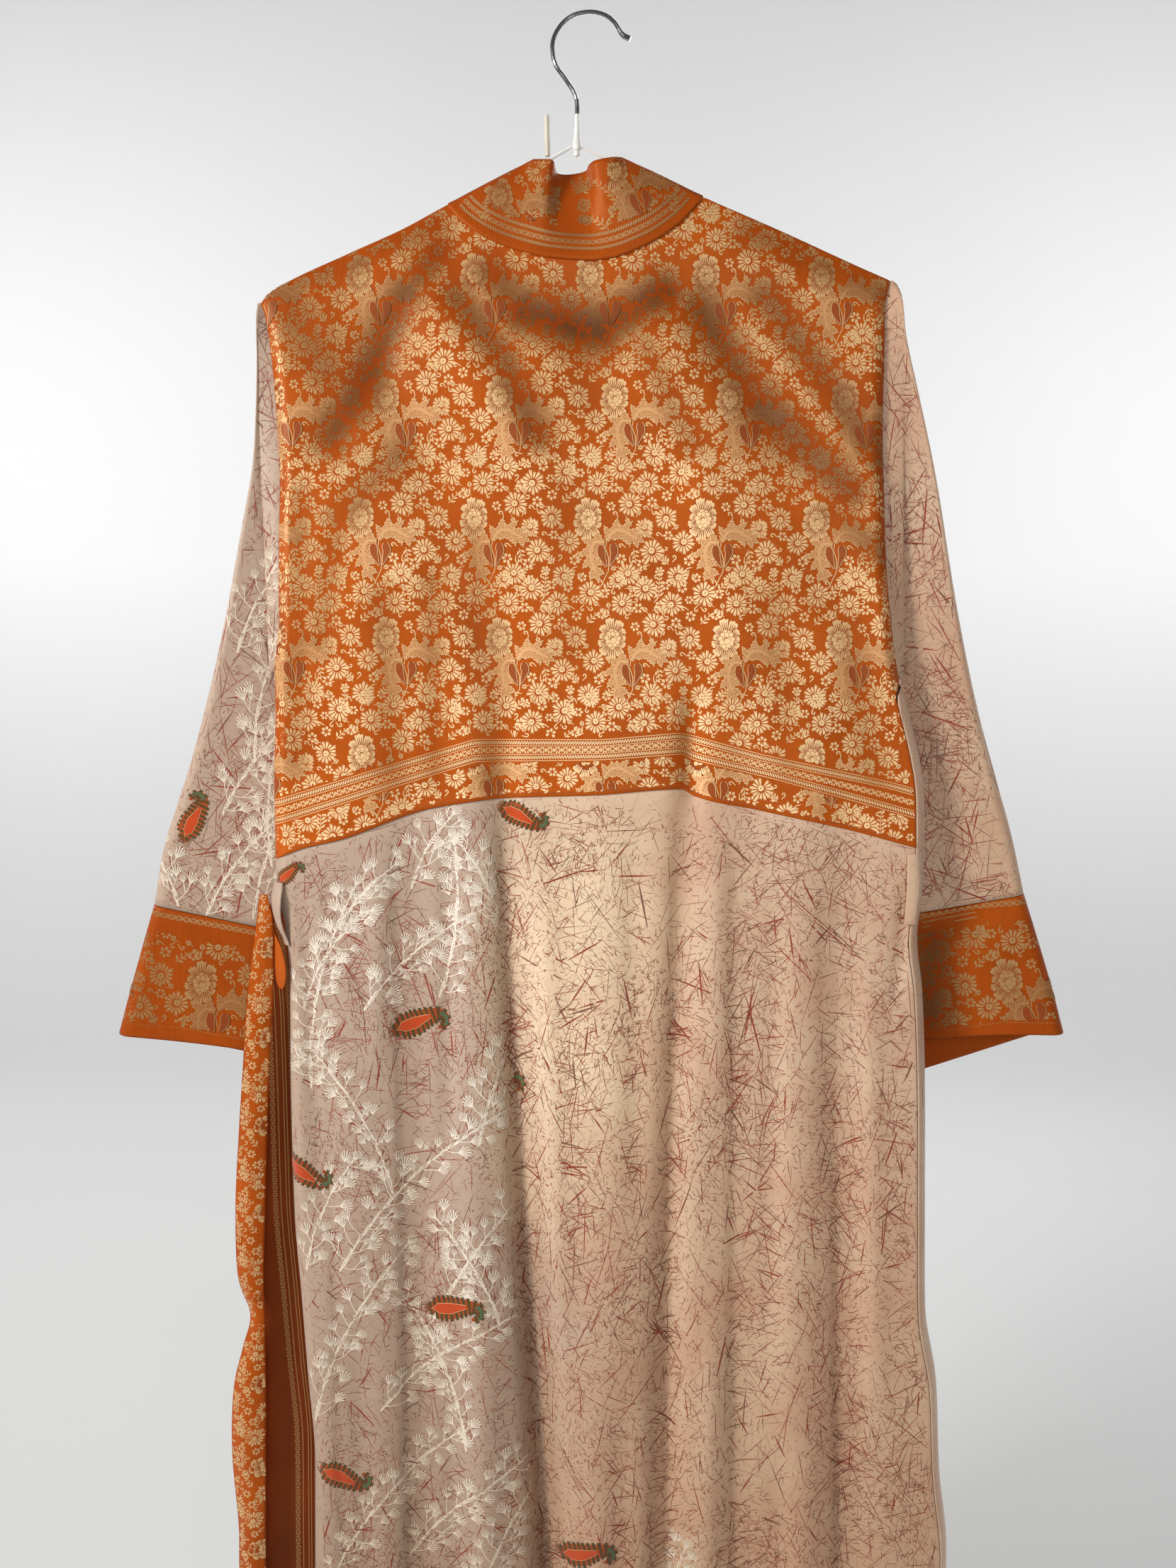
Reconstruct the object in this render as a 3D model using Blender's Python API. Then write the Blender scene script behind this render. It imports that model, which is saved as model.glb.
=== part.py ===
"""Robe of pieced silk hanging on a coated wire hanger.

Metres, +Z up. The origin is the inside top of the hook, where the hanger hangs. The back of the robe
faces -Y, the open fronts face +Y, and +X is to the right as the back is seen.
"""
import math

import bmesh
import bpy
import numpy as np

# Cloth
CLOTH = 0.0015          # wall of every cloth piece
SEAM = 0.0004           # space between the edges of two pieces that are sewn together
HEM_Z = -1.300
EDGE_APART = 0.0008     # least distance of a panel's edge from the hanger's plane
ROLL = 0.012            # width of the rounded turn at each side of the body
FOLD_OVER = 0.003       # radius of the cloth where it turns over the hanger
UNDERARM_Z = -0.452
SIDE_OF_YOKE_SEAM_Z = -0.575
CLOSING = 0.018         # height over which the body's sides close below the underarm
ARMHOLE_TURN = 28.0     # degrees of the side turn where the armhole's edge lies
SIDE_SEAM_TURN = 2.0    # the same at the left side seam, close to the outermost line
LEFT_ARMHOLE_STEP = 0.0014    # from a panel's edge at the armhole to the sleeve's edge
RIGHT_ARMHOLE_STEP = 0.0020
BACK_SEAM_TURN = 80.0   # the same at the right side seam, which lies on the back
SEAM_STEP = 3.0         # degrees between the two panels at that seam

# Neck
NECK_LEFT = (-0.0991, -0.1266)    # x, z where the neck band crosses the shoulder line
NECK_RIGHT = (0.0798, -0.1210)
BAND_LEFT_WIDTH = 0.0603
BAND_RIGHT_WIDTH = 0.0573

# Hanger
HOOK_WIRE = 0.0015      # radius
COATED_WIRE = 0.0012
PRONG = 0.0019
ARM_BELOW_CLOTH = 0.0032
ARM_START = 0.0038      # from the middle of the hanger's neck to an arm
ARM_START_Z = -0.0872
ARM_END_LEFT = -0.2130
ARM_END_RIGHT = 0.1930
END_BEND = 0.0080       # radius of the arm's turn into the lower bar
NECK_X = -0.0087

# Outline of the shoulders: x, z
SHOULDER_LINE = (
    (-0.2318, -0.1933),
    (-0.2252, -0.1866),
    (-0.2161, -0.1810),
    (-0.1691, -0.1597),
    (-0.1303, -0.1428),
    (-0.0991, -0.1266),
    (-0.0557, -0.1056),
    (-0.0388, -0.0961),
    (-0.0082, -0.0925),
    (0.0225, -0.0946),
    (0.0409, -0.1040),
    (0.0798, -0.1210),
    (0.1349, -0.1439),
    (0.1912, -0.1683),
    (0.2113, -0.1767),
)

# Outermost lines of the body: z, left x, right x
BODY_SIDES = (
    (-0.1767, -0.2332, 0.2127),
    (-0.1933, -0.2332, 0.2096),
    (-0.1998, -0.2306, 0.2093),
    (-0.2152, -0.2275, 0.2096),
    (-0.2630, -0.2227, 0.2096),
    (-0.3058, -0.2205, 0.2112),
    (-0.3783, -0.2222, 0.2158),
    (-0.4200, -0.2228, 0.2207),
    (-0.4520, -0.2262, 0.2262),
    (-0.4749, -0.2262, 0.2335),
    (-0.5434, -0.2280, 0.2480),
    (-0.5824, -0.2280, 0.2491),
    (-0.6100, -0.2271, 0.2488),
    (-0.6430, -0.2212, 0.2462),
    (-0.6839, -0.2187, 0.2513),
    (-0.7568, -0.2194, 0.2560),
    (-0.8595, -0.2181, 0.2596),
    (-0.9297, -0.2137, 0.2624),
    (-0.9887, -0.2100, 0.2727),
    (-1.0583, -0.2054, 0.2775),
    (-1.1223, -0.2062, 0.2854),
    (-1.3000, -0.2085, 0.2880),
)

# How far the cloth stands from the hanger's plane: drop below the shoulder line, back, front
HANG = (
    (0.003, 0.0030, 0.0030),
    (0.010, 0.0046, 0.0036),
    (0.030, 0.0075, 0.0044),
    (0.080, 0.0110, 0.0058),
    (0.200, 0.0150, 0.0073),
    (0.400, 0.0190, 0.0092),
    (0.800, 0.0240, 0.0126),
    (1.250, 0.0300, 0.0160),
)

# Neck seam on the back: x, z
NECK_SEAM = (
    (-0.0991, -0.1266),
    (-0.0880, -0.1388),
    (-0.0697, -0.1505),
    (-0.0513, -0.1577),
    (-0.0276, -0.1632),
    (0.0025, -0.1647),
    (0.0172, -0.1630),
    (0.0378, -0.1556),
    (0.0618, -0.1405),
    (0.0798, -0.1210),
)

# Arched seam between the yoke and the back body: x, z
YOKE_SEAM = (
    (-0.2290, -0.5900),
    (-0.2038, -0.5797),
    (-0.1779, -0.5734),
    (-0.1091, -0.5493),
    (-0.0578, -0.5416),
    (0.0102, -0.5383),
    (0.0704, -0.5339),
    (0.0786, -0.5387),
    (0.1277, -0.5489),
    (0.1934, -0.5629),
    (0.2400, -0.5750),
)

# The standing part of the neck band: x on the neck seam, then x, y, z of its free edge
NECK_BAND = (
    (-0.0991, -0.0388, -0.0008, -0.0961),
    (-0.0965, -0.0385, -0.0024, -0.0964),
    (-0.0900, -0.0375, -0.0040, -0.0972),
    (-0.0790, -0.0350, -0.0070, -0.0983),
    (-0.0640, -0.0310, -0.0098, -0.0993),
    (-0.0480, -0.0268, -0.0115, -0.1000),
    (-0.0360, -0.0245, -0.0095, -0.1008),
    (-0.0280, -0.0238, -0.0045, -0.1030),
    (-0.0210, -0.0222, 0.0000, -0.1052),
    (-0.0120, -0.0155, 0.0014, -0.1054),
    (-0.0040, -0.0080, 0.0012, -0.1046),
    (0.0040, -0.0018, -0.0005, -0.1032),
    (0.0120, 0.0000, -0.0055, -0.1014),
    (0.0220, 0.0040, -0.0105, -0.1003),
    (0.0350, 0.0095, -0.0120, -0.0996),
    (0.0500, 0.0150, -0.0105, -0.0982),
    (0.0650, 0.0195, -0.0070, -0.0968),
    (0.0730, 0.0215, -0.0040, -0.0958),
    (0.0775, 0.0222, -0.0024, -0.0951),
    (0.0798, 0.0225, -0.0008, -0.0946),
)

# Middle line of the open front, straight between its points: z, x
FRONT_MIDDLE = ((-1.30, 0.0400), (-0.50, 0.0045), (-0.09, -0.0082))

# Half of the space between the two front bands: z, distance
FRONT_OPENING = ((-1.30, 0.0050), (-0.50, 0.0050), (-0.0955, 0.0306))

# Folds that hang down the back: x at the yoke seam, half way and near the hem, half width,
# depth at the yoke seam and near the hem. A positive depth is a trough, a negative one a ridge.
FOLD_LEVELS = (-0.54, -0.85, -1.15)
BACK_FOLDS = (
    (-0.1750, -0.1780, -0.1700, 0.026, -0.0005, -0.0040),
    (-0.1247, -0.1201, -0.1171, 0.015, 0.0010, 0.0050),
    (-0.0804, -0.0783, -0.0681, 0.017, -0.0010, -0.0060),
    (-0.0580, -0.0410, -0.0215, 0.012, 0.0025, 0.0105),
    (0.0109, 0.0160, 0.0187, 0.028, -0.0015, -0.0060),
    (0.0755, 0.0650, 0.0640, 0.012, 0.0025, 0.0070),
    (0.1150, 0.1195, 0.1267, 0.018, 0.0010, 0.0035),
    (0.1550, 0.1600, 0.1680, 0.018, -0.0005, -0.0030),
    (0.1903, 0.1967, 0.2069, 0.018, 0.0010, 0.0045),
)
FRONT_FOLDS = (
    (-0.1550, -0.1500, -0.1400, 0.018, 0.0005, 0.0030),
    (-0.1050, -0.1000, -0.0900, 0.016, -0.0005, -0.0030),
    (0.1000, 0.1150, 0.1250, 0.017, 0.0005, 0.0032),
    (0.1550, 0.1700, 0.1850, 0.018, -0.0005, -0.0030),
)

# Slanting creases of the yoke: start x, z, end x, z, half width, depth
YOKE_CREASES = (
    (-0.165, -0.195, -0.060, -0.430, 0.022, 0.0030),
    (-0.120, -0.180, -0.020, -0.330, 0.018, -0.0022),
    (0.000, -0.185, 0.010, -0.260, 0.022, 0.0035),
    (0.095, -0.190, 0.180, -0.400, 0.026, 0.0032),
    (0.045, -0.200, 0.110, -0.430, 0.020, -0.0022),
    (0.0765, -0.460, 0.0780, -0.560, 0.007, 0.0018),
)

# Sections of a sleeve from the armhole to the cuff:
# outer x, z, y, inner x, z, y, half depth
LEFT_SLEEVE = (
    (-0.2342, -0.1985, 0.0000, -0.2300, -0.4545, 0.0045, 0.0045),
    (-0.2344, -0.2291, 0.0010, -0.2325, -0.4585, 0.0115, 0.0060),
    (-0.2363, -0.2666, 0.0020, -0.2312, -0.4650, 0.0180, 0.0070),
    (-0.2403, -0.3044, 0.0040, -0.2255, -0.4780, 0.0212, 0.0078),
    (-0.2514, -0.3556, 0.0065, -0.2155, -0.5050, 0.0222, 0.0082),
    (-0.2691, -0.4342, 0.0090, -0.2050, -0.5450, 0.0228, 0.0085),
    (-0.2920, -0.5149, 0.0115, -0.1970, -0.5950, 0.0235, 0.0087),
    (-0.3155, -0.5834, 0.0130, -0.1940, -0.6280, 0.0242, 0.0089),
    (-0.3251, -0.6287, 0.0140, -0.1925, -0.6580, 0.0245, 0.0090),
)
RIGHT_SLEEVE = (
    (0.2190, -0.1850, 0.0000, 0.2290, -0.4545, 0.0045, 0.0045),
    (0.2234, -0.2137, 0.0010, 0.2322, -0.4585, 0.0115, 0.0060),
    (0.2341, -0.2539, 0.0020, 0.2330, -0.4650, 0.0180, 0.0070),
    (0.2498, -0.3146, 0.0040, 0.2295, -0.4780, 0.0212, 0.0078),
    (0.2674, -0.3980, 0.0065, 0.2230, -0.5050, 0.0222, 0.0082),
    (0.2861, -0.4724, 0.0090, 0.2150, -0.5450, 0.0228, 0.0085),
    (0.3052, -0.5327, 0.0115, 0.2080, -0.5900, 0.0235, 0.0087),
    (0.3172, -0.5693, 0.0130, 0.2040, -0.6150, 0.0242, 0.0089),
    (0.3287, -0.6137, 0.0140, 0.2020, -0.6400, 0.0245, 0.0090),
)

# Sections of a cuff from its seam to its hem:
# outer x, z, y, inner x, z, y, half depth, rise of the near layer, drop of the far layer
LEFT_CUFF = (
    (-0.3252, -0.6292, 0.0140, -0.1925, -0.6585, 0.0245, 0.0090, 0.0000, 0.0000),
    (-0.3352, -0.6611, 0.0145, -0.1928, -0.6880, 0.0262, 0.0098, 0.0005, 0.0020),
    (-0.3460, -0.6964, 0.0150, -0.1935, -0.7220, 0.0280, 0.0105, 0.0015, 0.0060),
    (-0.3559, -0.7301, 0.0155, -0.1950, -0.7560, 0.0290, 0.0112, 0.0030, 0.0110),
)
RIGHT_CUFF = (
    (0.3288, -0.6142, 0.0140, 0.2020, -0.6405, 0.0245, 0.0090, 0.0000, 0.0000),
    (0.3406, -0.6480, 0.0145, 0.2025, -0.6740, 0.0262, 0.0100, 0.0010, 0.0100),
    (0.3529, -0.6844, 0.0150, 0.2035, -0.7080, 0.0280, 0.0108, 0.0030, 0.0250),
    (0.3639, -0.7207, 0.0155, 0.2050, -0.7400, 0.0290, 0.0118, 0.0055, 0.0420),
)
CUFF_DENT = (0.66, 0.10, 0.0045)   # right cuff: place along its width, half width, depth

# Sections of the two hanging ends of the belt, and of its turn in the loop:
# z, left x, left y, right x, right y, bulge towards the back
BELT_OUTER = (
    (-0.6160, -0.2375, -0.0130, -0.2318, -0.0150, 0.0010),
    (-0.6260, -0.2392, -0.0130, -0.2300, -0.0150, 0.0015),
    (-0.6377, -0.2406, -0.0130, -0.2285, -0.0145, 0.0020),
    (-0.6915, -0.2487, -0.0120, -0.2295, -0.0135, 0.0030),
    (-0.7460, -0.2536, -0.0110, -0.2338, -0.0120, 0.0035),
    (-0.8012, -0.2585, -0.0095, -0.2370, -0.0110, 0.0040),
    (-0.8571, -0.2625, -0.0085, -0.2398, -0.0100, 0.0040),
    (-0.9137, -0.2621, -0.0080, -0.2420, -0.0100, 0.0040),
    (-0.9452, -0.2535, -0.0070, -0.2421, -0.0100, 0.0025),
    (-0.9710, -0.2595, -0.0075, -0.2421, -0.0100, 0.0035),
    (-1.0059, -0.2675, -0.0080, -0.2422, -0.0100, 0.0045),
    (-1.0586, -0.2698, -0.0080, -0.2432, -0.0100, 0.0045),
    (-1.1178, -0.2661, -0.0080, -0.2445, -0.0100, 0.0040),
    (-1.1548, -0.2664, -0.0080, -0.2452, -0.0100, 0.0040),
    (-1.2350, -0.2660, -0.0080, -0.2450, -0.0100, 0.0040),
)
BELT_INNER = (
    (-0.6250, -0.2335, 0.0000, -0.2280, 0.0030, 0.0000),
    (-0.6400, -0.2385, 0.0010, -0.2235, 0.0056, 0.0000),
    (-0.6600, -0.2425, 0.0020, -0.2192, 0.0080, 0.0000),
    (-0.7000, -0.2440, 0.0030, -0.2165, 0.0118, 0.0005),
    (-0.7600, -0.2455, 0.0030, -0.2155, 0.0125, 0.0010),
    (-0.8595, -0.2470, 0.0030, -0.2145, 0.0130, 0.0015),
    (-0.9297, -0.2480, 0.0030, -0.2100, 0.0135, 0.0020),
    (-0.9887, -0.2485, 0.0030, -0.2062, 0.0140, 0.0020),
    (-1.0583, -0.2490, 0.0030, -0.2015, 0.0145, 0.0020),
    (-1.1223, -0.2490, 0.0030, -0.2022, 0.0150, 0.0020),
    (-1.2100, -0.2490, 0.0030, -0.2030, 0.0150, 0.0020),
)
BELT_TURN = (
    (-0.6340, -0.2336, -0.0062, -0.2303, -0.0090, 0.0000),
    (-0.6440, -0.2326, -0.0072, -0.2285, -0.0120, 0.0003),
    (-0.6540, -0.2314, -0.0082, -0.2222, -0.0180, 0.0006),
    (-0.6640, -0.2312, -0.0090, -0.2190, -0.0195, 0.0010),
    (-0.6740, -0.2305, -0.0095, -0.2180, -0.0190, 0.0012),
    (-0.6820, -0.2285, -0.0100, -0.2195, -0.0170, 0.0008),
    (-0.6870, -0.2255, -0.0110, -0.2220, -0.0150, 0.0003),
)

# Belt loops: z, left x, right x, distance of the loop from the body
LEFT_LOOP = (
    (-0.6060, -0.2258, -0.2178, 0.0024),
    (-0.6110, -0.2257, -0.2178, 0.0030),
    (-0.6200, -0.2246, -0.2170, 0.0060),
    (-0.6300, -0.2225, -0.2160, 0.0070),
    (-0.6400, -0.2208, -0.2150, 0.0060),
    (-0.6480, -0.2198, -0.2145, 0.0030),
    (-0.6530, -0.2195, -0.2135, 0.0024),
)
RIGHT_LOOP = (
    (-0.5800, 0.2330, 0.2408, 0.0024),
    (-0.5880, 0.2330, 0.2410, 0.0032),
    (-0.6050, 0.2332, 0.2410, 0.0045),
    (-0.6200, 0.2330, 0.2404, 0.0036),
    (-0.6320, 0.2325, 0.2398, 0.0027),
)

# Wires: x, z of their middle lines
HOOK_LINE = (
    (0.0275, -0.0162),
    (0.0236, -0.0144),
    (0.0211, -0.0120),
    (0.0172, -0.0058),
    (0.0105, -0.0008),
    (0.0000, 0.0015),
    (-0.0120, -0.0008),
    (-0.0210, -0.0075),
    (-0.0258, -0.0170),
    (-0.0260, -0.0250),
    (-0.0238, -0.0333),
    (-0.0179, -0.0412),
    (-0.0119, -0.0496),
    (-0.0092, -0.0560),
    (NECK_X, -0.0610),
    (NECK_X, -0.0653),
)
NECK_PROFILE = (   # z, radius
    (-0.0657, 0.0014),
    (-0.0700, 0.0016),
    (-0.0790, 0.0021),
    (-0.0845, 0.0028),
    (-0.0872, 0.0032),
    (-0.0890, 0.0028),
    (-0.0902, 0.0020),
    (-0.0918, 0.0023),
    (-0.0932, 0.0019),
    (-0.0940, 0.0008),
)
PRONG_LINE = ((-0.0299, -0.0668), (-0.0297, -0.0760), (-0.0294, -0.0850), (-0.0291, -0.0935))

# Colours: red, green, blue
BROCADE = (0.53, 0.12, 0.014)
BROCADE_DEEP = (0.36, 0.07, 0.010)
PLAIN_SATIN = (0.53, 0.13, 0.016)
PRINTED_SILK = (0.56, 0.39, 0.25)
CHROME = (0.80, 0.80, 0.82)
WHITE_COATING = (0.80, 0.80, 0.79)
OLD_WHITE = (0.70, 0.68, 0.56)


def clear_scene():
    for old in list(bpy.data.objects):
        bpy.data.objects.remove(old, do_unlink=True)


def material(name, colour, roughness, metallic=0.0):
    made = bpy.data.materials.new(name)
    made.use_nodes = True
    shader = made.node_tree.nodes["Principled BSDF"]
    shader.inputs["Base Color"].default_value = (*colour, 1.0)
    shader.inputs["Roughness"].default_value = roughness
    shader.inputs["Metallic"].default_value = metallic
    made.diffuse_color = (*colour, 1.0)
    return made


def curve(rows, column=1):
    """A smooth curve through one column of a table, against its first, that never overshoots."""
    pairs = sorted((row[0], row[column]) for row in rows)
    xs = np.array([pair[0] for pair in pairs])
    ys = np.array([pair[1] for pair in pairs])
    steps = np.diff(xs)
    rises = np.diff(ys) / steps
    slopes = np.zeros(len(xs))
    slopes[0], slopes[-1] = rises[0], rises[-1]
    for i in range(1, len(xs) - 1):
        if rises[i - 1] * rises[i] > 0:
            before, after = steps[i - 1] + 2 * steps[i], 2 * steps[i - 1] + steps[i]
            slopes[i] = (before + after) / (before / rises[i - 1] + after / rises[i])

    def at(x):
        x = min(max(x, xs[0]), xs[-1])
        i = min(int(np.searchsorted(xs, x, side="right")) - 1, len(steps) - 1)
        t = (x - xs[i]) / steps[i]
        start = (1 + 2 * t) * (1 - t) ** 2 * ys[i] + t * (1 - t) ** 2 * steps[i] * slopes[i]
        end = t * t * (3 - 2 * t) * ys[i + 1] + t * t * (t - 1) * steps[i] * slopes[i + 1]
        return float(start + end)

    return at


def mix(a, b, t):
    return a + (b - a) * t


def ease(t):
    t = min(max(t, 0.0), 1.0)
    return t * t * (3 - 2 * t)


shoulder_z = curve(SHOULDER_LINE)
left_side = curve(BODY_SIDES, 1)
right_side = curve(BODY_SIDES, 2)
hang_back = curve(HANG, 1)
hang_front = curve(HANG, 2)
neck_seam_z = curve(NECK_SEAM)
yoke_seam_z = curve(YOKE_SEAM)


def over_wire(drop):
    """The round of the cloth where it turns over the hanger, as a distance from the hanger's plane."""
    lift = min(max(FOLD_OVER - drop, 0.0), FOLD_OVER)
    return math.sqrt(FOLD_OVER ** 2 - lift ** 2)


def fold_depth(folds, x, z):
    total = 0.0
    top, middle, low = FOLD_LEVELS
    for top_x, middle_x, low_x, half_width, top_depth, low_depth in folds:
        if z > middle:
            place = mix(middle_x, top_x, min((z - middle) / (top - middle), 1.0))
        else:
            place = mix(middle_x, low_x, (z - middle) / (low - middle))
        share = ease((top + 0.16 - z) / (top + 0.16 - low))
        start = ease((-0.36 - z) / 0.18)
        total += mix(top_depth, low_depth, share) * start * math.exp(-(((x - place) / half_width) ** 2))
    return total


def crease_depth(x, z):
    total = 0.0
    for start_x, start_z, end_x, end_z, half_width, depth in YOKE_CREASES:
        run_x, run_z = end_x - start_x, end_z - start_z
        along = ((x - start_x) * run_x + (z - start_z) * run_z) / (run_x ** 2 + run_z ** 2)
        near = min(max(along, 0.0), 1.0)
        away = math.hypot(x - start_x - near * run_x, z - start_z - near * run_z)
        total += depth * math.exp(-((away / half_width) ** 2))
    return total


def back_depth(x, z):
    drop = shoulder_z(x) - z
    if drop < FOLD_OVER:
        return over_wire(drop)
    settled = ease((drop - FOLD_OVER) / 0.05)
    return hang_back(drop) - settled * (fold_depth(BACK_FOLDS, x, z) + crease_depth(x, z))


def front_depth(x, z):
    drop = shoulder_z(x) - z
    if drop < FOLD_OVER:
        return over_wire(drop)
    return hang_front(drop) - fold_depth(FRONT_FOLDS, x, z)


def side_turn(z, below):
    """Degrees of the side turn where a body panel ends, above and below the underarm."""
    return mix(ARMHOLE_TURN, below, ease((UNDERARM_Z - z) / CLOSING))


def turned(side, degrees, z, face):
    """Point on the rounded side of the body. 90 degrees is the flat of the face."""
    angle = math.radians(degrees)
    inset = ROLL * (1 - math.cos(angle))
    x = left_side(z) + inset if side < 0 else right_side(z) - inset
    outward = math.sin(angle)
    back = (face < 0) == (outward >= 0)
    reach = outward * (back_depth(x, z) if back else front_depth(x, z))
    return (x, face * (max(reach, EDGE_APART) if outward > 0 else reach), z)


def flat(x, z, face):
    depth = back_depth(x, z) if face < 0 else front_depth(x, z)
    return (x, face * depth, z)


def roll_columns(side, face, below, count):
    """Columns of a panel around one side of the body, from its edge to the flat."""
    def column(share):
        return lambda z: turned(side, mix(side_turn(z, below), 90.0, share), z, face)
    made = [column(i / count) for i in range(count)]
    return made if side < 0 else made[::-1]


def flat_columns(shares, left, right, face):
    """Columns of a panel over its flat. Each one keeps its share of the way from left(z) to right(z)."""
    def column(share):
        return lambda z: flat(mix(left(z), right(z), share), z, face)
    return [column(share) for share in shares]


def hung(columns, top, near_rows, stages):
    """Grid of points. Each column runs down from top(x), with close rows at first, then in stages.

    A stage is the height where it ends, as a function of x, and its number of rows.
    """
    grid = []
    for column in columns:
        heights = [settled(top, column) - drop for drop in near_rows]
        for end, rows in stages:
            start, stop = heights[-1], settled(end, column)
            heights += [mix(start, stop, i / rows) for i in range(1, rows + 1)]
        grid.append([column(z) for z in heights])
    return [list(row) for row in zip(*grid)]


def settled(level, column):
    """Height where a column meets a level that changes with x."""
    z = level(0.0)
    for _ in range(12):
        z = level(column(z)[0])
    return z


def cloth(name, grid, finish, closed=False):
    """A cloth wall from the grid of its middle surface."""
    rows, columns = len(grid), len(grid[0])
    points = [point for row in grid for point in row]
    faces = []
    for r in range(rows - 1):
        for c in range(columns if closed else columns - 1):
            after = (c + 1) % columns
            faces.append((r * columns + c, r * columns + after,
                          (r + 1) * columns + after, (r + 1) * columns + c))
    mesh = bpy.data.meshes.new(name)
    mesh.from_pydata(points, [], faces)
    mesh.shade_smooth()
    mesh.materials.append(finish)
    made = bpy.data.objects.new(name, mesh)
    bpy.context.scene.collection.objects.link(made)
    wall = made.modifiers.new("Wall", "SOLIDIFY")
    wall.thickness = CLOTH
    wall.offset = 0.0
    return made


def wire(name, points, radius, finish, radii=None):
    """A round wire through points, with closed ends."""
    data = bpy.data.curves.new(name, "CURVE")
    data.dimensions = "3D"
    data.bevel_depth = radius
    data.bevel_resolution = 2
    data.use_fill_caps = True
    spline = data.splines.new("POLY")
    spline.points.add(len(points) - 1)
    for i, point in enumerate(points):
        spline.points[i].co = (*point, 1.0)
        spline.points[i].radius = radii[i] if radii else 1.0
    spline.use_smooth = True
    data.materials.append(finish)
    made = bpy.data.objects.new(name, data)
    bpy.context.scene.collection.objects.link(made)
    return made


def smooth_path(points, spacing):
    """Points about one spacing apart along a smooth line through the given x, z points, at y 0."""
    line = [np.array(point, float) for point in points]
    line = [2 * line[0] - line[1]] + line + [2 * line[-1] - line[-2]]
    path = []
    for a, b, c, d in zip(line, line[1:], line[2:], line[3:]):
        count = max(1, round(float(np.linalg.norm(c - b)) / spacing))
        for i in range(count):
            t = i / count
            place = 0.5 * (2 * b + (c - a) * t + (2 * a - 5 * b + 4 * c - d) * t ** 2
                           + (3 * b - a - 3 * c + d) * t ** 3)
            path.append((float(place[0]), 0.0, float(place[1])))
    path.append((float(line[-2][0]), 0.0, float(line[-2][1])))
    return path


UNDERARM_STAGES = (
    (lambda x: UNDERARM_Z, 7),
    (lambda x: UNDERARM_Z - CLOSING, 2),
)
TO_YOKE_SEAM = (yoke_seam_z, 2)
TO_SIDE_OF_YOKE_SEAM = (lambda x: SIDE_OF_YOKE_SEAM_Z, 2)
TO_HEM = (lambda x: HEM_Z, 12)
FRONT_STAGES = (*UNDERARM_STAGES, TO_SIDE_OF_YOKE_SEAM, TO_HEM)
NEAR_ROWS = (0.00007, 0.0005, 0.0013, 0.0027, 0.0065, 0.0140)


def flat_left(z):
    """Where the flat of the body begins, beyond the turn of its left side."""
    return left_side(z) + ROLL


def flat_right(z):
    return right_side(z) - ROLL


def back_shares():
    """Shares across the flat of the back, with a column at each end of the neck seam."""
    left, right = flat_left(-0.15), flat_right(-0.15)
    places = np.concatenate([
        np.linspace(left, NECK_LEFT[0], 11)[:-1],
        [row[0] for row in NECK_BAND[:-1]],
        np.linspace(NECK_RIGHT[0], right, 11),
    ])
    return [(place - left) / (right - left) for place in places]


def yoke_top(x):
    return neck_seam_z(x) if NECK_LEFT[0] < x < NECK_RIGHT[0] else shoulder_z(x)


def back_yoke(finish):
    columns = roll_columns(-1, -1, SIDE_SEAM_TURN, 3)
    columns += flat_columns(back_shares(), flat_left, flat_right, -1)
    columns += roll_columns(1, -1, BACK_SEAM_TURN, 3)
    cloth("back_yoke", hung(columns, yoke_top, NEAR_ROWS, (*UNDERARM_STAGES, TO_YOKE_SEAM)), finish)


def back_body(finish):
    columns = roll_columns(-1, -1, SIDE_SEAM_TURN, 3)
    columns += flat_columns(back_shares(), flat_left, flat_right, -1)
    columns += roll_columns(1, -1, BACK_SEAM_TURN, 3)
    grid = hung(columns, lambda x: yoke_seam_z(x) - SEAM, (0.0,), (TO_HEM,))
    cloth("back_body", grid, finish)


def band_edge(side, z):
    """Free edge of a front band."""
    middle = np.interp(z, *zip(*FRONT_MIDDLE))
    return float(middle + side * np.interp(z, *zip(*FRONT_OPENING)))


def band_seam(side, z):
    width = BAND_LEFT_WIDTH if side < 0 else BAND_RIGHT_WIDTH
    return band_edge(side, z) + side * width


def front_panel(name, side, finish):
    below = SIDE_SEAM_TURN if side < 0 else SEAM_STEP - BACK_SEAM_TURN
    rolled = roll_columns(side, 1, below, 3 if side < 0 else 6)
    shares = np.linspace(0, 1, 9)
    if side < 0:
        columns = rolled + flat_columns(shares, flat_left, lambda z: band_seam(-1, z) - SEAM, 1)
    else:
        columns = flat_columns(shares, lambda z: band_seam(1, z) + SEAM, flat_right, 1) + rolled
    cloth(name, hung(columns, shoulder_z, NEAR_ROWS, FRONT_STAGES), finish)


def front_band(name, side, finish):
    shares = np.linspace(0, 1, 7)
    if side < 0:
        columns = flat_columns(shares, lambda z: band_seam(-1, z), lambda z: band_edge(-1, z), 1)
    else:
        columns = flat_columns(shares, lambda z: band_edge(1, z), lambda z: band_seam(1, z), 1)
    cloth(name, hung(columns, shoulder_z, NEAR_ROWS, FRONT_STAGES), finish)


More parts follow.
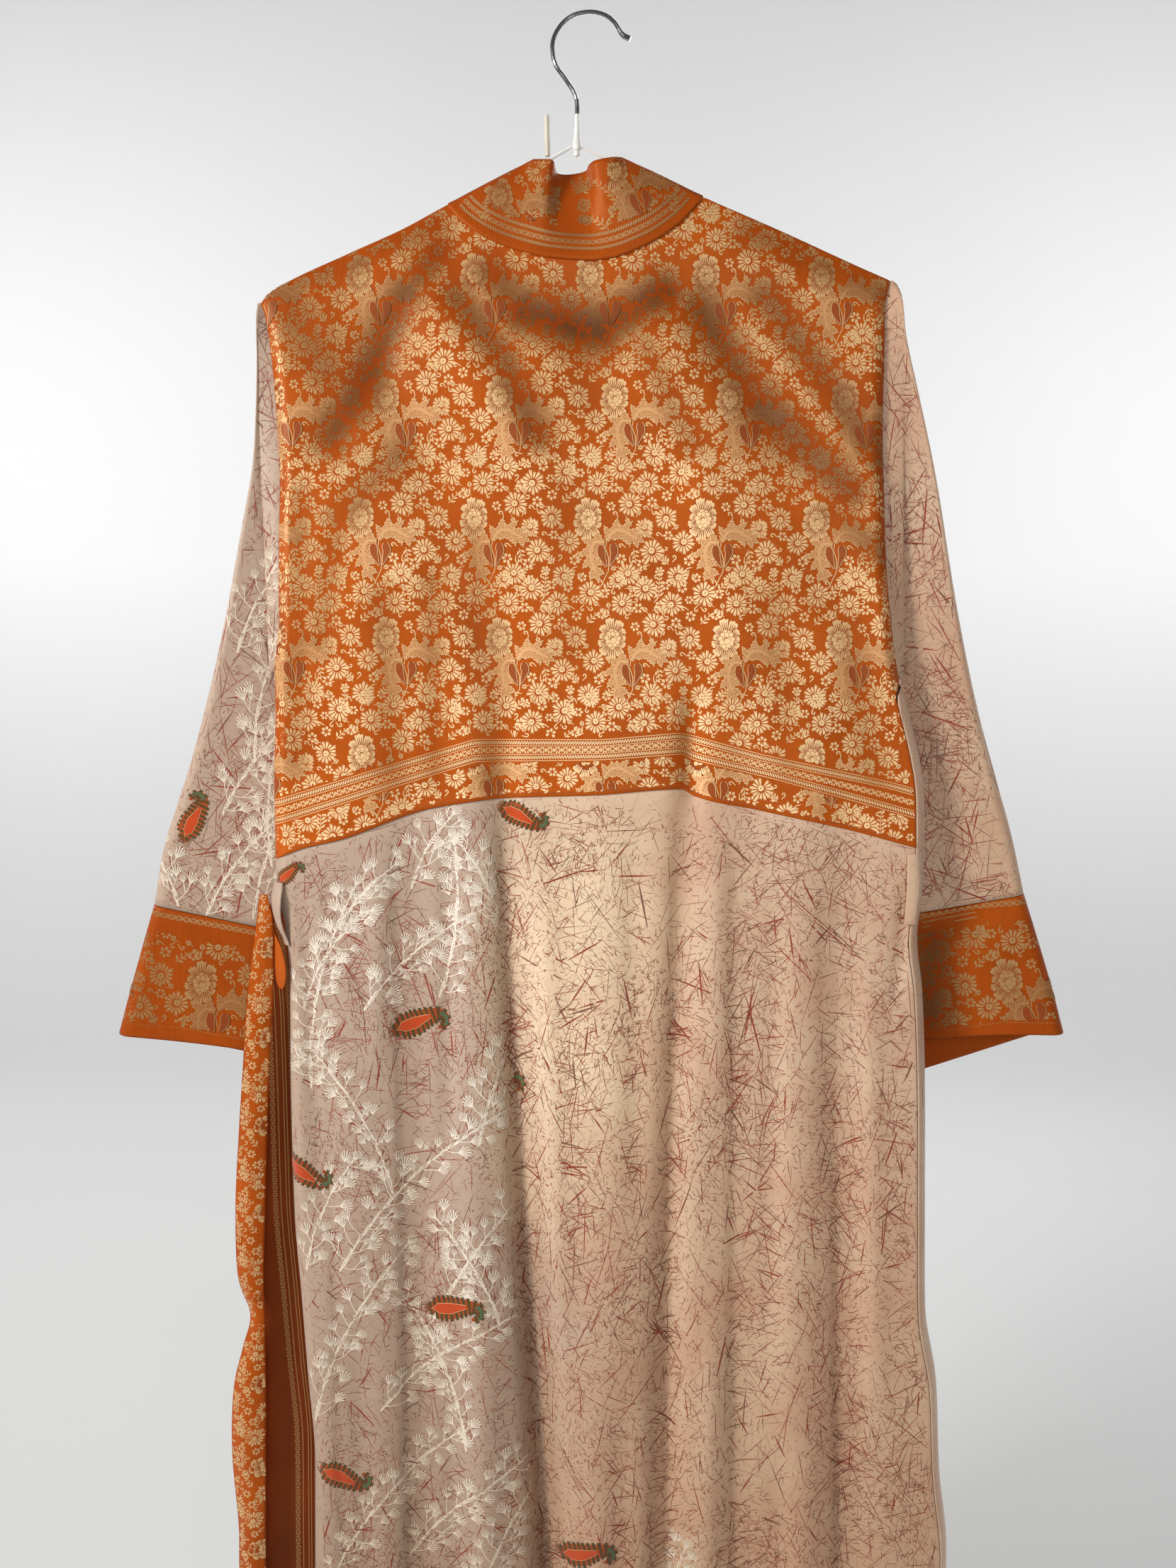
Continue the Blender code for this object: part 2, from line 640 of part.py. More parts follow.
def neck_band(finish):
    """The band that stands up from the neck seam, pushed in behind the hanger's neck."""
    rise = (0.012, 0.25, 0.5, 0.78, 1.0)
    grid = []
    for share in rise:
        row = []
        for seam_x, edge_x, edge_y, edge_z in NECK_BAND:
            seam_z = neck_seam_z(seam_x)
            x, z = mix(seam_x, edge_x, share), mix(seam_z + SEAM, edge_z, share)
            row.append((x, mix(min(-back_depth(seam_x, seam_z), -0.0008), edge_y, share), z))
        grid.append(row)
    cloth("neck_band", grid, finish)


def loop_places(length, half):
    """Distance along the loop's width and share of its half depth, for the near layer from end to end."""
    turn = [0, 30, 60]
    ends = [(half * (1 - math.cos(math.radians(a))), math.sin(math.radians(a))) for a in turn]
    flat_count = 9
    middle = [(mix(half, length - half, i / flat_count), 1.0) for i in range(flat_count + 1)]
    return ends + middle + [(length - s, share) for s, share in reversed(ends)]


def sleeve_section(outer, inner, half, near_rise=0.0, far_drop=0.0, dent=None):
    """One closed section of a sleeve, from its outer line over the near layer and back over the far one."""
    length = math.dist(outer, inner)
    near, far = [], []
    for along, bulge in loop_places(length, half):
        share = along / length
        x, y, z = (mix(outer[i], inner[i], share) for i in range(3))
        sunk = 0.0
        if dent:
            sunk = dent[2] * math.exp(-(((share - dent[0]) / dent[1]) ** 2))
        near.append((x, y - half * bulge + sunk * bulge, z + near_rise * math.sin(math.pi * share)))
        far.append((x, y + half * bulge, z - far_drop * share * bulge))
    return near + far[-2:0:-1]


def armhole(side):
    """The sleeve's first section, a little beyond the edges of the yoke and of the front."""
    tip_z = shoulder_z(-0.2318 if side < 0 else 0.2113)
    length = tip_z - UNDERARM_Z
    step = LEFT_ARMHOLE_STEP if side < 0 else RIGHT_ARMHOLE_STEP
    near, far = [], []
    for along, bulge in loop_places(length, 0.005):
        z = tip_z - along
        for layer, face in ((near, -1), (far, 1)):
            edge = np.array(turned(side, ARMHOLE_TURN, z, face))
            onward = edge - np.array(turned(side, ARMHOLE_TURN + 1.0, z, face))
            x, y, _ = edge + onward * step / np.linalg.norm(onward)
            layer.append((float(x), float(y) * (bulge if along > length / 2 or along == 0.0 else 1.0), z))
    return near + far[-2:0:-1]


def sleeve(name, side, sections, finish):
    grid = [armhole(side)]
    for ox, oz, oy, ix, iz, iy, half in sections:
        grid.append(sleeve_section((ox, oy, oz), (ix, iy, iz), half))
    cloth(name, grid, finish, closed=True)


def cuff(name, sections, finish, dent=None):
    grid = []
    for row, (ox, oz, oy, ix, iz, iy, half, near_rise, far_drop) in enumerate(sections):
        here = (dent[0], dent[1], dent[2] * row / (len(sections) - 1)) if dent else None
        grid.append(sleeve_section((ox, oy, oz), (ix, iy, iz), half, near_rise, far_drop, here))
    cloth(name, grid, finish, closed=True)


def strip(name, sections, finish):
    """A narrow hanging strip, rounded towards the back."""
    grid = []
    for z, left_x, left_y, right_x, right_y, bulge in sections:
        row = []
        for i in range(5):
            share = i / 4
            y = mix(left_y, right_y, share) - bulge * math.sin(math.pi * share)
            row.append((mix(left_x, right_x, share), y, z))
        grid.append(row)
    cloth(name, grid, finish)


def above_back(x, z, distance):
    """Point a distance out from the back of the body, also on the rounded sides."""
    side = -1 if x < 0 else 1
    inset = x - left_side(z) if side < 0 else right_side(z) - x
    angle = math.acos(1 - min(max(inset, 0.0) / ROLL, 1.0))
    depth = back_depth(x, z)
    across, away = math.cos(angle) / ROLL, math.sin(angle) / depth
    size = math.hypot(across, away)
    return (x + side * distance * across / size, -depth * math.sin(angle) - distance * away / size, z)


def belt_loop(name, sections, finish):
    grid = []
    for z, left_x, right_x, distance in sections:
        grid.append([above_back(mix(left_x, right_x, share), z, distance) for share in (0.0, 0.33, 0.67, 1.0)])
    cloth(name, grid, finish)


def hanger_neck(finish):
    """Moulded sleeve that joins the hook to the arms, turned from its profile."""
    shape = bmesh.new()
    line = [shape.verts.new((NECK_X, 0.0, NECK_PROFILE[0][0]))]
    line += [shape.verts.new((NECK_X + radius, 0.0, z)) for z, radius in NECK_PROFILE]
    line += [shape.verts.new((NECK_X, 0.0, NECK_PROFILE[-1][0] - 0.0003))]
    edges = [shape.edges.new(pair) for pair in zip(line, line[1:])]
    bmesh.ops.spin(shape, geom=line + edges, cent=(NECK_X, 0.0, 0.0), axis=(0, 0, 1),
                   angle=math.tau, steps=14, use_merge=True)
    bmesh.ops.remove_doubles(shape, verts=shape.verts, dist=0.00001)
    bmesh.ops.recalc_face_normals(shape, faces=shape.faces)
    mesh = bpy.data.meshes.new("hanger_neck")
    shape.to_mesh(mesh)
    shape.free()
    mesh.shade_smooth()
    mesh.materials.append(finish)
    bpy.context.scene.collection.objects.link(bpy.data.objects.new("hanger_neck", mesh))


def below_cloth(x):
    return shoulder_z(x) - ARM_BELOW_CLOTH


def arm_line(side):
    """Middle line of an arm, from the neck to its end, then round the bend to the lower bar."""
    start = NECK_X + side * ARM_START
    edge = NECK_BAND[0 if side < 0 else -1][1]
    end = ARM_END_LEFT if side < 0 else ARM_END_RIGHT
    line = [(start, ARM_START_Z), (mix(start, edge, 0.5), mix(ARM_START_Z, below_cloth(edge), 0.6))]
    line += [(float(x), below_cloth(x)) for x in np.linspace(edge, end, 11)]
    slope = math.atan2(line[-1][1] - line[-2][1], abs(line[-1][0] - line[-2][0]))
    centre_x = end + side * END_BEND * math.sin(slope)
    centre_z = line[-1][1] - END_BEND * math.cos(slope)
    for i in range(1, 7):
        angle = math.pi / 2 + slope - math.radians(30 * i) if i < 6 else -math.pi / 2
        line.append((centre_x + side * END_BEND * math.cos(angle), centre_z + END_BEND * math.sin(angle)))
    return line


def hanger(chrome, coating, old_white):
    hook_path = smooth_path(HOOK_LINE, 0.0034)
    radii = [1.35, 1.3, 1.1] + [1.0] * (len(hook_path) - 3)
    wire("hanger_hook", hook_path, HOOK_WIRE, chrome, radii)
    hanger_neck(coating)
    ends = []
    for name, side in (("hanger_arm_left", -1), ("hanger_arm_right", 1)):
        line = arm_line(side)
        wire(name, [(x, 0.0, z) for x, z in line], COATED_WIRE, coating)
        ends.append(line[-1])
    (left_x, left_z), (right_x, right_z) = ends
    wire("hanger_bar", [(left_x + SEAM, 0.0, left_z), (right_x - SEAM, 0.0, right_z)],
         COATED_WIRE, coating)
    wire("hanger_prong", [(x, -0.0002, z) for x, _, z in smooth_path(PRONG_LINE, 0.006)], PRONG, old_white)


def robe():
    brocade = material("orange_brocade", BROCADE, 0.42)
    inner_brocade = material("deep_orange_brocade", BROCADE_DEEP, 0.48)
    satin = material("plain_orange_satin", PLAIN_SATIN, 0.40)
    silk = material("printed_silk", PRINTED_SILK, 0.50)
    back_yoke(brocade)
    neck_band(brocade)
    back_body(silk)
    front_panel("front_left", -1, silk)
    front_panel("front_right", 1, silk)
    front_band("front_band_left", -1, brocade)
    front_band("front_band_right", 1, brocade)
    sleeve("sleeve_left", -1, LEFT_SLEEVE, silk)
    sleeve("sleeve_right", 1, RIGHT_SLEEVE, silk)
    cuff("cuff_left", LEFT_CUFF, brocade)
    cuff("cuff_right", RIGHT_CUFF, brocade, CUFF_DENT)
    strip("belt_outer_end", BELT_OUTER, brocade)
    strip("belt_turn", BELT_TURN, satin)
    strip("belt_inner_end", BELT_INNER, inner_brocade)
    belt_loop("belt_loop_left", LEFT_LOOP, silk)
    belt_loop("belt_loop_right", RIGHT_LOOP, silk)


clear_scene()
hanger(
    material("chrome_wire", CHROME, 0.18, 1.0),
    material("white_coating", WHITE_COATING, 0.35),
    material("old_white_plastic", OLD_WHITE, 0.45),
)
robe()
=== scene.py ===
"""A pieced silk robe on a wire hanger, dressed over its frame. Metres, the back faces -Y."""
import math

import bmesh
import bpy
import numpy as np
from mathutils import Matrix, Vector
from mathutils.bvhtree import BVHTree


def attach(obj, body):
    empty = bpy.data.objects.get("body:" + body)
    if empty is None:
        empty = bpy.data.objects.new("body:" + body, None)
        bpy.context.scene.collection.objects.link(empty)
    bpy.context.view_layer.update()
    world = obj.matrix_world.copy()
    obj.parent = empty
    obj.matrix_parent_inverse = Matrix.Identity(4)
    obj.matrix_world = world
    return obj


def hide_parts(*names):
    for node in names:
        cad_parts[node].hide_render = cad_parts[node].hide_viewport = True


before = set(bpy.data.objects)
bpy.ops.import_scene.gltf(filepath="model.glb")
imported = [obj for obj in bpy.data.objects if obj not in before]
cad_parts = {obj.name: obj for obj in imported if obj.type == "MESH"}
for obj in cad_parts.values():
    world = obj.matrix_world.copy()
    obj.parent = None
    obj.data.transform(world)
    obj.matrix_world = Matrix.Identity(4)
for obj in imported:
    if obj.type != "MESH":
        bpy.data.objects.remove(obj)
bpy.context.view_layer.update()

# Camera: the eye, its turn in degrees and its lens
EYE = (0.01585, -0.89177, -0.43942)
YAW, PITCH, TILT = 0.86, 6.04, 0.45
LENS, SENSOR = 27.99, 36.0
# The backdrop: its floor, where the floor starts and begins to bend up, its top and half width
FLOOR_Z = -1.45
FLOOR_FRONT, FLOOR_BACK, WALL_TOP, WALL_HALF = -4.0, 2.0, 3.5, 5.0

# The cut
SEAM = 0.0004           # space between the edges of two pieces that are sewn together
HEM_Z = -1.300
EDGE_APART = 0.0008     # least distance of a panel's edge from the hanger's plane
ROLL = 0.012            # width of the rounded turn at each side of the body
FOLD_OVER = 0.003       # radius of the cloth where it turns over the hanger
UNDERARM_Z = -0.452
CLOSING = 0.018         # height over which the body's sides close below the underarm
ARMHOLE_TURN = 28.0     # degrees of the side turn where the armhole's edge lies
SIDE_SEAM_TURN = 2.0    # the same at the left side seam, close to the outermost line
BACK_SEAM_TURN = 80.0   # the same at the right side seam, which lies on the back
SEAM_STEP = 3.0         # degrees between the two panels at that seam
ARMHOLE_DEPTH = 0.005   # half depth of a sleeve at the armhole
LEFT_ARMHOLE_STEP = 0.0014    # from a panel's edge at the armhole to the sleeve's edge
RIGHT_ARMHOLE_STEP = 0.0020
NECK_LEFT_X, NECK_RIGHT_X = -0.0991, 0.0798    # where the neck band crosses the shoulder line
BAND_LEFT_WIDTH, BAND_RIGHT_WIDTH = 0.0603, 0.0573

# The cloth
SHOWN_CLOTH = 0.0008    # thickness of a shown sheet
RELIEF = 0.00012        # how far woven and sewn figures stand off the cloth
LIFT = 0.0025           # metres for each unit of a figure's lift
FOLDED_EDGE = 0.0010    # how far the yoke's folded edge reaches over the body's cloth
TUCKED = 0.0015         # how far the body's cloth reaches up under that edge
REACH = 0.5             # how far away a ray towards the cloth starts
WIDEST_FACE = 0.05      # a wider face of a closed sheet joins its last column to its first
BACK_WAY, FRONT_WAY = (0.0, 1.0, 0.0), (0.0, -1.0, 0.0)    # ways of looking at back and fronts
SLOPE_STEP = 0.001      # step over which the slope of a fold is taken
EDGE_RAISED = 0.0006    # how far the yoke's folded edge stands off the body's cloth
EDGE_SUNK = 0.0008      # how far the body's cloth sinks in under that edge
EDGE_RAMP = 0.004       # height over which both come in
WIDEST_RIBBON = 2.6     # millimetres; a wider ribbon is split along its middle
FLAT_TURN, SIDE_TURN = -0.12, -0.6    # figures end where the cloth turns away further than this
# Painted light and shade of the sleeves, and of the belt's outer end, turn and inner end
SLEEVE_LIGHT, OUTER_LIGHT, TURN_LIGHT, INNER_LIGHT = 0.93, 0.80, 0.85, 0.62    # sleeves and belt

# How finely the cloth is divided: columns and rows, the first close rows below an upper edge,
# and the space between the rows of what is tubular or narrow
BACK_COLUMNS, YOKE_ROWS, BACK_ROWS = 150, 150, 190
FRONT_COLUMNS, FRONT_ROWS = 40, 185
BAND_COLUMNS, BAND_ROWS = 18, 210
CLOSE_ROWS = (0.00007, 0.0004, 0.0009, 0.0016, 0.0027, 0.0042)
SLEEVE_SPACE, CUFF_SPACE, BELT_SPACE, TURN_SPACE, LOOP_SPACE = 0.0065, 0.003, 0.004, 0.002, 0.0015

# Outline of the shoulders: x, z
SHOULDER_LINE = (
    (-0.2318, -0.1933), (-0.2252, -0.1866), (-0.2161, -0.181), (-0.1691, -0.1597),
    (-0.1303, -0.1428), (-0.0991, -0.1266), (-0.0557, -0.1056), (-0.0388, -0.0961),
    (-0.0082, -0.0925), (0.0225, -0.0946), (0.0409, -0.104), (0.0798, -0.121), (0.1349, -0.1439),
    (0.1912, -0.1683), (0.2113, -0.1767),
)

# Outermost lines of the body: z, left x, right x
BODY_SIDES = (
    (-0.1767, -0.2332, 0.2127), (-0.1933, -0.2332, 0.2096), (-0.1998, -0.2306, 0.2093),
    (-0.2152, -0.2275, 0.2096), (-0.263, -0.2227, 0.2096), (-0.3058, -0.2205, 0.2112),
    (-0.3783, -0.2222, 0.2158), (-0.42, -0.2228, 0.2207), (-0.452, -0.2262, 0.2262),
    (-0.4749, -0.2262, 0.2335), (-0.5434, -0.228, 0.248), (-0.5824, -0.228, 0.2491),
    (-0.61, -0.2271, 0.2488), (-0.643, -0.2212, 0.2462), (-0.6839, -0.2187, 0.2513),
    (-0.7568, -0.2194, 0.256), (-0.8595, -0.2181, 0.2596), (-0.9297, -0.2137, 0.2624),
    (-0.9887, -0.21, 0.2727), (-1.0583, -0.2054, 0.2775), (-1.1223, -0.2062, 0.2854),
    (-1.3, -0.2085, 0.288),
)

# How far the cloth stands from the hanger's plane: drop below the shoulder line, back, front
HANG = (
    (0.003, 0.003, 0.003), (0.01, 0.0046, 0.0036), (0.03, 0.0075, 0.0044), (0.08, 0.011, 0.0058),
    (0.2, 0.015, 0.0073), (0.4, 0.019, 0.0092), (0.8, 0.024, 0.0126), (1.25, 0.03, 0.016),
)

# Neck seam on the back: x, z
NECK_SEAM = (
    (-0.0991, -0.1266), (-0.088, -0.1388), (-0.0697, -0.1505), (-0.0513, -0.1577),
    (-0.0276, -0.1632), (0.0025, -0.1647), (0.0172, -0.163), (0.0378, -0.1556), (0.0618, -0.1405),
    (0.0798, -0.121),
)

# Arched seam between the yoke and the back body: x, z
YOKE_SEAM = (
    (-0.229, -0.59), (-0.2038, -0.5797), (-0.1779, -0.5734), (-0.1091, -0.5493),
    (-0.0578, -0.5416), (0.0102, -0.5383), (0.0704, -0.5339), (0.0786, -0.5387), (0.1277, -0.5489),
    (0.1934, -0.5629), (0.24, -0.575),
)

# The standing part of the neck band: x on the neck seam, then x, y, z of its free edge
NECK_BAND = (
    (-0.0991, -0.0388, -0.0008, -0.0961), (-0.0965, -0.0385, -0.0024, -0.0964),
    (-0.09, -0.0375, -0.004, -0.0972), (-0.079, -0.035, -0.007, -0.0983),
    (-0.064, -0.031, -0.0098, -0.0993), (-0.048, -0.0268, -0.0115, -0.1),
    (-0.036, -0.0245, -0.0095, -0.1008), (-0.028, -0.0238, -0.0045, -0.103),
    (-0.021, -0.0222, 0.0, -0.1052), (-0.012, -0.0155, 0.0014, -0.1054),
    (-0.004, -0.008, 0.0012, -0.1046), (0.004, -0.0018, -0.0005, -0.1032),
    (0.012, 0.0, -0.0055, -0.1014), (0.022, 0.004, -0.0105, -0.1003),
    (0.035, 0.0095, -0.012, -0.0996), (0.05, 0.015, -0.0105, -0.0982),
    (0.065, 0.0195, -0.007, -0.0968), (0.073, 0.0215, -0.004, -0.0958),
    (0.0775, 0.0222, -0.0024, -0.0951), (0.0798, 0.0225, -0.0008, -0.0946),
)

# Middle line of the open front, straight between its points: z, x
FRONT_MIDDLE = ((-1.3, 0.04), (-0.5, 0.0045), (-0.09, -0.0082))

# Half of the space between the two front bands: z, distance
FRONT_OPENING = ((-1.3, 0.005), (-0.5, 0.005), (-0.0955, 0.0306))

# Folds that hang down the back: x at the yoke seam, half way and near the hem, half width,
# depth at the yoke seam and near the hem. A positive depth is a trough, a negative one a ridge.
FOLD_LEVELS = (-0.54, -0.85, -1.15)
FOLD_GROWTH = 0.16      # height above the yoke seam where a fold starts to deepen
FOLD_TOP = -0.36        # height where the folds begin
FOLD_FADE = 0.18        # height over which they come in
BACK_FOLDS = (
    (-0.175, -0.178, -0.17, 0.026, -0.0005, -0.004),
    (-0.1247, -0.1201, -0.1171, 0.015, 0.001, 0.005),
    (-0.0804, -0.0783, -0.0681, 0.017, -0.001, -0.006),
    (-0.058, -0.041, -0.0215, 0.012, 0.0025, 0.0105),
    (0.0109, 0.016, 0.0187, 0.028, -0.0015, -0.006), (0.0755, 0.065, 0.064, 0.012, 0.0025, 0.007),
    (0.115, 0.1195, 0.1267, 0.018, 0.001, 0.0035), (0.155, 0.16, 0.168, 0.018, -0.0005, -0.003),
    (0.1903, 0.1967, 0.2069, 0.018, 0.001, 0.0045),
)
FRONT_FOLDS = (
    (-0.155, -0.15, -0.14, 0.018, 0.0005, 0.003), (-0.105, -0.1, -0.09, 0.016, -0.0005, -0.003),
    (0.1, 0.115, 0.125, 0.017, 0.0005, 0.0032), (0.155, 0.17, 0.185, 0.018, -0.0005, -0.003),
)

# Folds where the cloth laps over itself: x of the lap at the three levels, width over which it
# recovers to the right, depth at the yoke seam and near the hem
LAPS = (
    (-0.0642, -0.049, -0.03, 0.018, 0.0034, 0.0092), (0.065, 0.0643, 0.068, 0.015, 0.0012, 0.004),
    (-0.14, -0.135, -0.132, 0.014, 0.0012, 0.003), (0.106, 0.111, 0.118, 0.014, 0.0008, 0.0026),
    (0.181, 0.188, 0.198, 0.016, 0.0008, 0.003), (-0.19, -0.188, -0.182, 0.012, 0.001, 0.0026),
)
LAP_EDGE = 0.0016       # width of the lap's own edge

# Slanting creases: start x, z, end x, z, half width, depth. A narrow one fades at its ends.
NARROW_CREASE = 0.0165
YOKE_CREASES = (
    (-0.165, -0.195, -0.06, -0.43, 0.022, 0.003), (-0.12, -0.18, -0.02, -0.33, 0.018, -0.0022),
    (0.0, -0.185, 0.01, -0.26, 0.022, 0.0035), (0.095, -0.19, 0.18, -0.4, 0.026, 0.0032),
    (0.045, -0.2, 0.11, -0.43, 0.02, -0.0022), (0.0765, -0.46, 0.078, -0.56, 0.007, 0.0018),
)
PUCKER = 1.5            # how much deeper than listed the body's small creases lie
FRONT_PUCKER = 1.2
BODY_PUCKERS = (
    (-0.205, -0.6, -0.19, -0.9, 0.008, 0.0014), (-0.15, -0.57, -0.152, -0.76, 0.008, -0.001),
    (-0.098, -0.56, -0.1, -0.84, 0.007, 0.0012), (-0.03, -0.56, -0.012, -1.0, 0.009, -0.001),
    (0.035, -0.55, 0.042, -0.9, 0.009, 0.001), (0.095, -0.56, 0.1, -0.78, 0.008, -0.001),
    (0.138, -0.57, 0.142, -1.0, 0.009, 0.0012), (0.175, -0.58, 0.185, -0.86, 0.008, 0.001),
    (0.205, -0.62, 0.225, -1.05, 0.01, -0.0014), (0.235, -0.59, 0.228, -0.7, 0.006, 0.0012),
    (-0.17, -0.9, -0.16, -1.29, 0.012, 0.002), (-0.1, -0.95, -0.092, -1.29, 0.01, 0.0018),
    (0.03, -0.98, 0.036, -1.29, 0.012, 0.0018), (0.1, -0.9, 0.096, -1.29, 0.01, -0.0016),
    (0.15, -1.0, 0.158, -1.29, 0.012, 0.0016),
)

# Bands of painted shade in the yoke's satin, where its sheen is dull; they also sink the cloth a
# little: start x, z, end x, z, half width, amount
STREAK_DEPTH = 0.0042
YOKE_SHADE_STREAKS = (
    (-0.068, -0.172, -0.045, -0.198, 0.015, 0.5), (-0.045, -0.2, 0.012, -0.213, 0.019, 0.69),
    (0.012, -0.213, 0.052, -0.186, 0.018, 0.67), (-0.214, -0.192, -0.182, -0.245, 0.022, 0.41),
    (-0.214, -0.184, -0.108, -0.142, 0.014, 0.37), (-0.106, -0.16, -0.127, -0.188, 0.015, 0.51),
    (-0.127, -0.188, -0.146, -0.228, 0.017, 0.61), (-0.146, -0.228, -0.18, -0.286, 0.019, 0.62),
    (-0.134, -0.3, -0.176, -0.345, 0.014, 0.37), (-0.176, -0.345, -0.19, -0.43, 0.012, 0.27),
    (-0.092, -0.19, -0.058, -0.232, 0.014, 0.49), (-0.058, -0.232, -0.034, -0.286, 0.013, 0.51),
    (0.08, -0.198, 0.124, -0.261, 0.016, 0.51), (0.124, -0.261, 0.186, -0.322, 0.018, 0.59),
    (0.124, -0.186, 0.208, -0.3, 0.016, 0.49), (0.176, -0.336, 0.216, -0.372, 0.014, 0.39),
    (0.112, -0.146, 0.22, -0.192, 0.013, 0.37), (0.036, -0.215, 0.072, -0.29, 0.012, 0.32),
    (-0.111, -0.389, -0.107, -0.536, 0.01, 0.29), (-0.146, -0.4, -0.141, -0.54, 0.012, 0.29),
    (-0.08, -0.355, -0.069, -0.535, 0.01, 0.21), (-0.202, -0.33, -0.208, -0.52, 0.013, 0.27),
    (0.136, -0.4, 0.15, -0.54, 0.013, 0.2), (0.19, -0.42, 0.214, -0.556, 0.013, 0.29),
    (-0.02, -0.32, -0.01, -0.44, 0.012, 0.17),
)

# Sections of a sleeve from the armhole to the cuff: outer x, z, y, inner x, z, y, half depth
LEFT_SLEEVE = (
    (-0.2342, -0.1985, 0.0, -0.23, -0.4545, 0.0045, 0.0045),
    (-0.2344, -0.2291, 0.001, -0.2325, -0.4585, 0.0115, 0.006),
    (-0.2363, -0.2666, 0.002, -0.2312, -0.465, 0.018, 0.007),
    (-0.2403, -0.3044, 0.004, -0.2255, -0.478, 0.0212, 0.0078),
    (-0.2514, -0.3556, 0.0065, -0.2155, -0.505, 0.0222, 0.0082),
    (-0.2691, -0.4342, 0.009, -0.205, -0.545, 0.0228, 0.0085),
    (-0.292, -0.5149, 0.0115, -0.197, -0.595, 0.0235, 0.0087),
    (-0.3155, -0.5834, 0.013, -0.194, -0.628, 0.0242, 0.0089),
    (-0.3251, -0.6287, 0.014, -0.1925, -0.658, 0.0245, 0.009),
)
RIGHT_SLEEVE = (
    (0.219, -0.185, 0.0, 0.229, -0.4545, 0.0045, 0.0045),
    (0.2234, -0.2137, 0.001, 0.2322, -0.4585, 0.0115, 0.006),
    (0.2341, -0.2539, 0.002, 0.233, -0.465, 0.018, 0.007),
    (0.2498, -0.3146, 0.004, 0.2295, -0.478, 0.0212, 0.0078),
    (0.2674, -0.398, 0.0065, 0.223, -0.505, 0.0222, 0.0082),
    (0.2861, -0.4724, 0.009, 0.215, -0.545, 0.0228, 0.0085),
    (0.3052, -0.5327, 0.0115, 0.208, -0.59, 0.0235, 0.0087),
    (0.3172, -0.5693, 0.013, 0.204, -0.615, 0.0242, 0.0089),
    (0.3287, -0.6137, 0.014, 0.202, -0.64, 0.0245, 0.009),
)

# Sections of a cuff from its seam to its hem:
# outer x, z, y, inner x, z, y, half depth, rise of the near layer, drop of the far layer
LEFT_CUFF = (
    (-0.3252, -0.6292, 0.014, -0.1925, -0.6585, 0.0245, 0.009, 0.0, 0.0),
    (-0.3352, -0.6611, 0.0145, -0.1928, -0.688, 0.0262, 0.0098, 0.0005, 0.002),
    (-0.346, -0.6964, 0.015, -0.1935, -0.722, 0.028, 0.0105, 0.0015, 0.006),
    (-0.3559, -0.7301, 0.0155, -0.195, -0.756, 0.029, 0.0112, 0.003, 0.011),
)
RIGHT_CUFF = (
    (0.3288, -0.6142, 0.014, 0.202, -0.6405, 0.0245, 0.009, 0.0, 0.0),
    (0.3406, -0.648, 0.0145, 0.2025, -0.674, 0.0262, 0.01, 0.001, 0.01),
    (0.3529, -0.6844, 0.015, 0.2035, -0.708, 0.028, 0.0108, 0.003, 0.025),
    (0.3639, -0.7207, 0.0155, 0.205, -0.74, 0.029, 0.0118, 0.0055, 0.042),
)
CUFF_DENT = (0.66, 0.10, 0.0045)   # right cuff: place along its width, half width, depth

# Seams and hems of the cuffs, and the cords of the yoke's border: x, z
LEFT_CUFF_SEAM = ((-0.33, -0.627), (-0.3236, -0.6285), (-0.2422, -0.6455), (-0.19, -0.657))
RIGHT_CUFF_SEAM = (
    (0.199, -0.638), (0.2512, -0.6261), (0.2882, -0.6174), (0.3273, -0.6129), (0.335, -0.612),
)
LEFT_CUFF_HEM = (
    (-0.36, -0.7275), (-0.3536, -0.7283), (-0.3078, -0.7328), (-0.2583, -0.7429), (-0.19, -0.756),
)
RIGHT_CUFF_HEM = (
    (0.2, -0.739), (0.2581, -0.7316), (0.3169, -0.7203), (0.3618, -0.7197), (0.37, -0.719),
)
UPPER_CORD = (
    (-0.23, -0.55), (-0.224, -0.5483), (-0.0791, -0.5028), (0.0129, -0.502), (0.0677, -0.4969),
    (0.0778, -0.4988), (0.1262, -0.5116), (0.2204, -0.5311), (0.25, -0.539),
)
LOWER_CORD = (
    (-0.23, -0.563), (-0.2243, -0.5612), (-0.0791, -0.514), (0.013, -0.5116), (0.0714, -0.507),
    (0.078, -0.511), (0.1361, -0.5243), (0.2245, -0.548), (0.25, -0.555),
)

# Sections of the two hanging ends of the belt, and of its turn in the loop:
# z, left x, left y, right x, right y, bulge towards the back
BELT_OUTER = (
    (-0.616, -0.2375, -0.013, -0.2318, -0.015, 0.001),
    (-0.626, -0.2392, -0.013, -0.23, -0.015, 0.0015),
    (-0.6377, -0.2406, -0.013, -0.2285, -0.0145, 0.002),
    (-0.6915, -0.2487, -0.012, -0.2295, -0.0135, 0.003),
    (-0.746, -0.2536, -0.011, -0.2338, -0.012, 0.0035),
    (-0.8012, -0.2585, -0.0095, -0.237, -0.011, 0.004),
    (-0.8571, -0.2625, -0.0085, -0.2398, -0.01, 0.004),
    (-0.9137, -0.2621, -0.008, -0.242, -0.01, 0.004),
    (-0.9452, -0.2535, -0.007, -0.2421, -0.01, 0.0025),
    (-0.971, -0.2595, -0.0075, -0.2421, -0.01, 0.0035),
    (-1.0059, -0.2675, -0.008, -0.2422, -0.01, 0.0045),
    (-1.0586, -0.2698, -0.008, -0.2432, -0.01, 0.0045),
    (-1.1178, -0.2661, -0.008, -0.2445, -0.01, 0.004),
    (-1.1548, -0.2664, -0.008, -0.2452, -0.01, 0.004),
    (-1.235, -0.266, -0.008, -0.245, -0.01, 0.004),
)
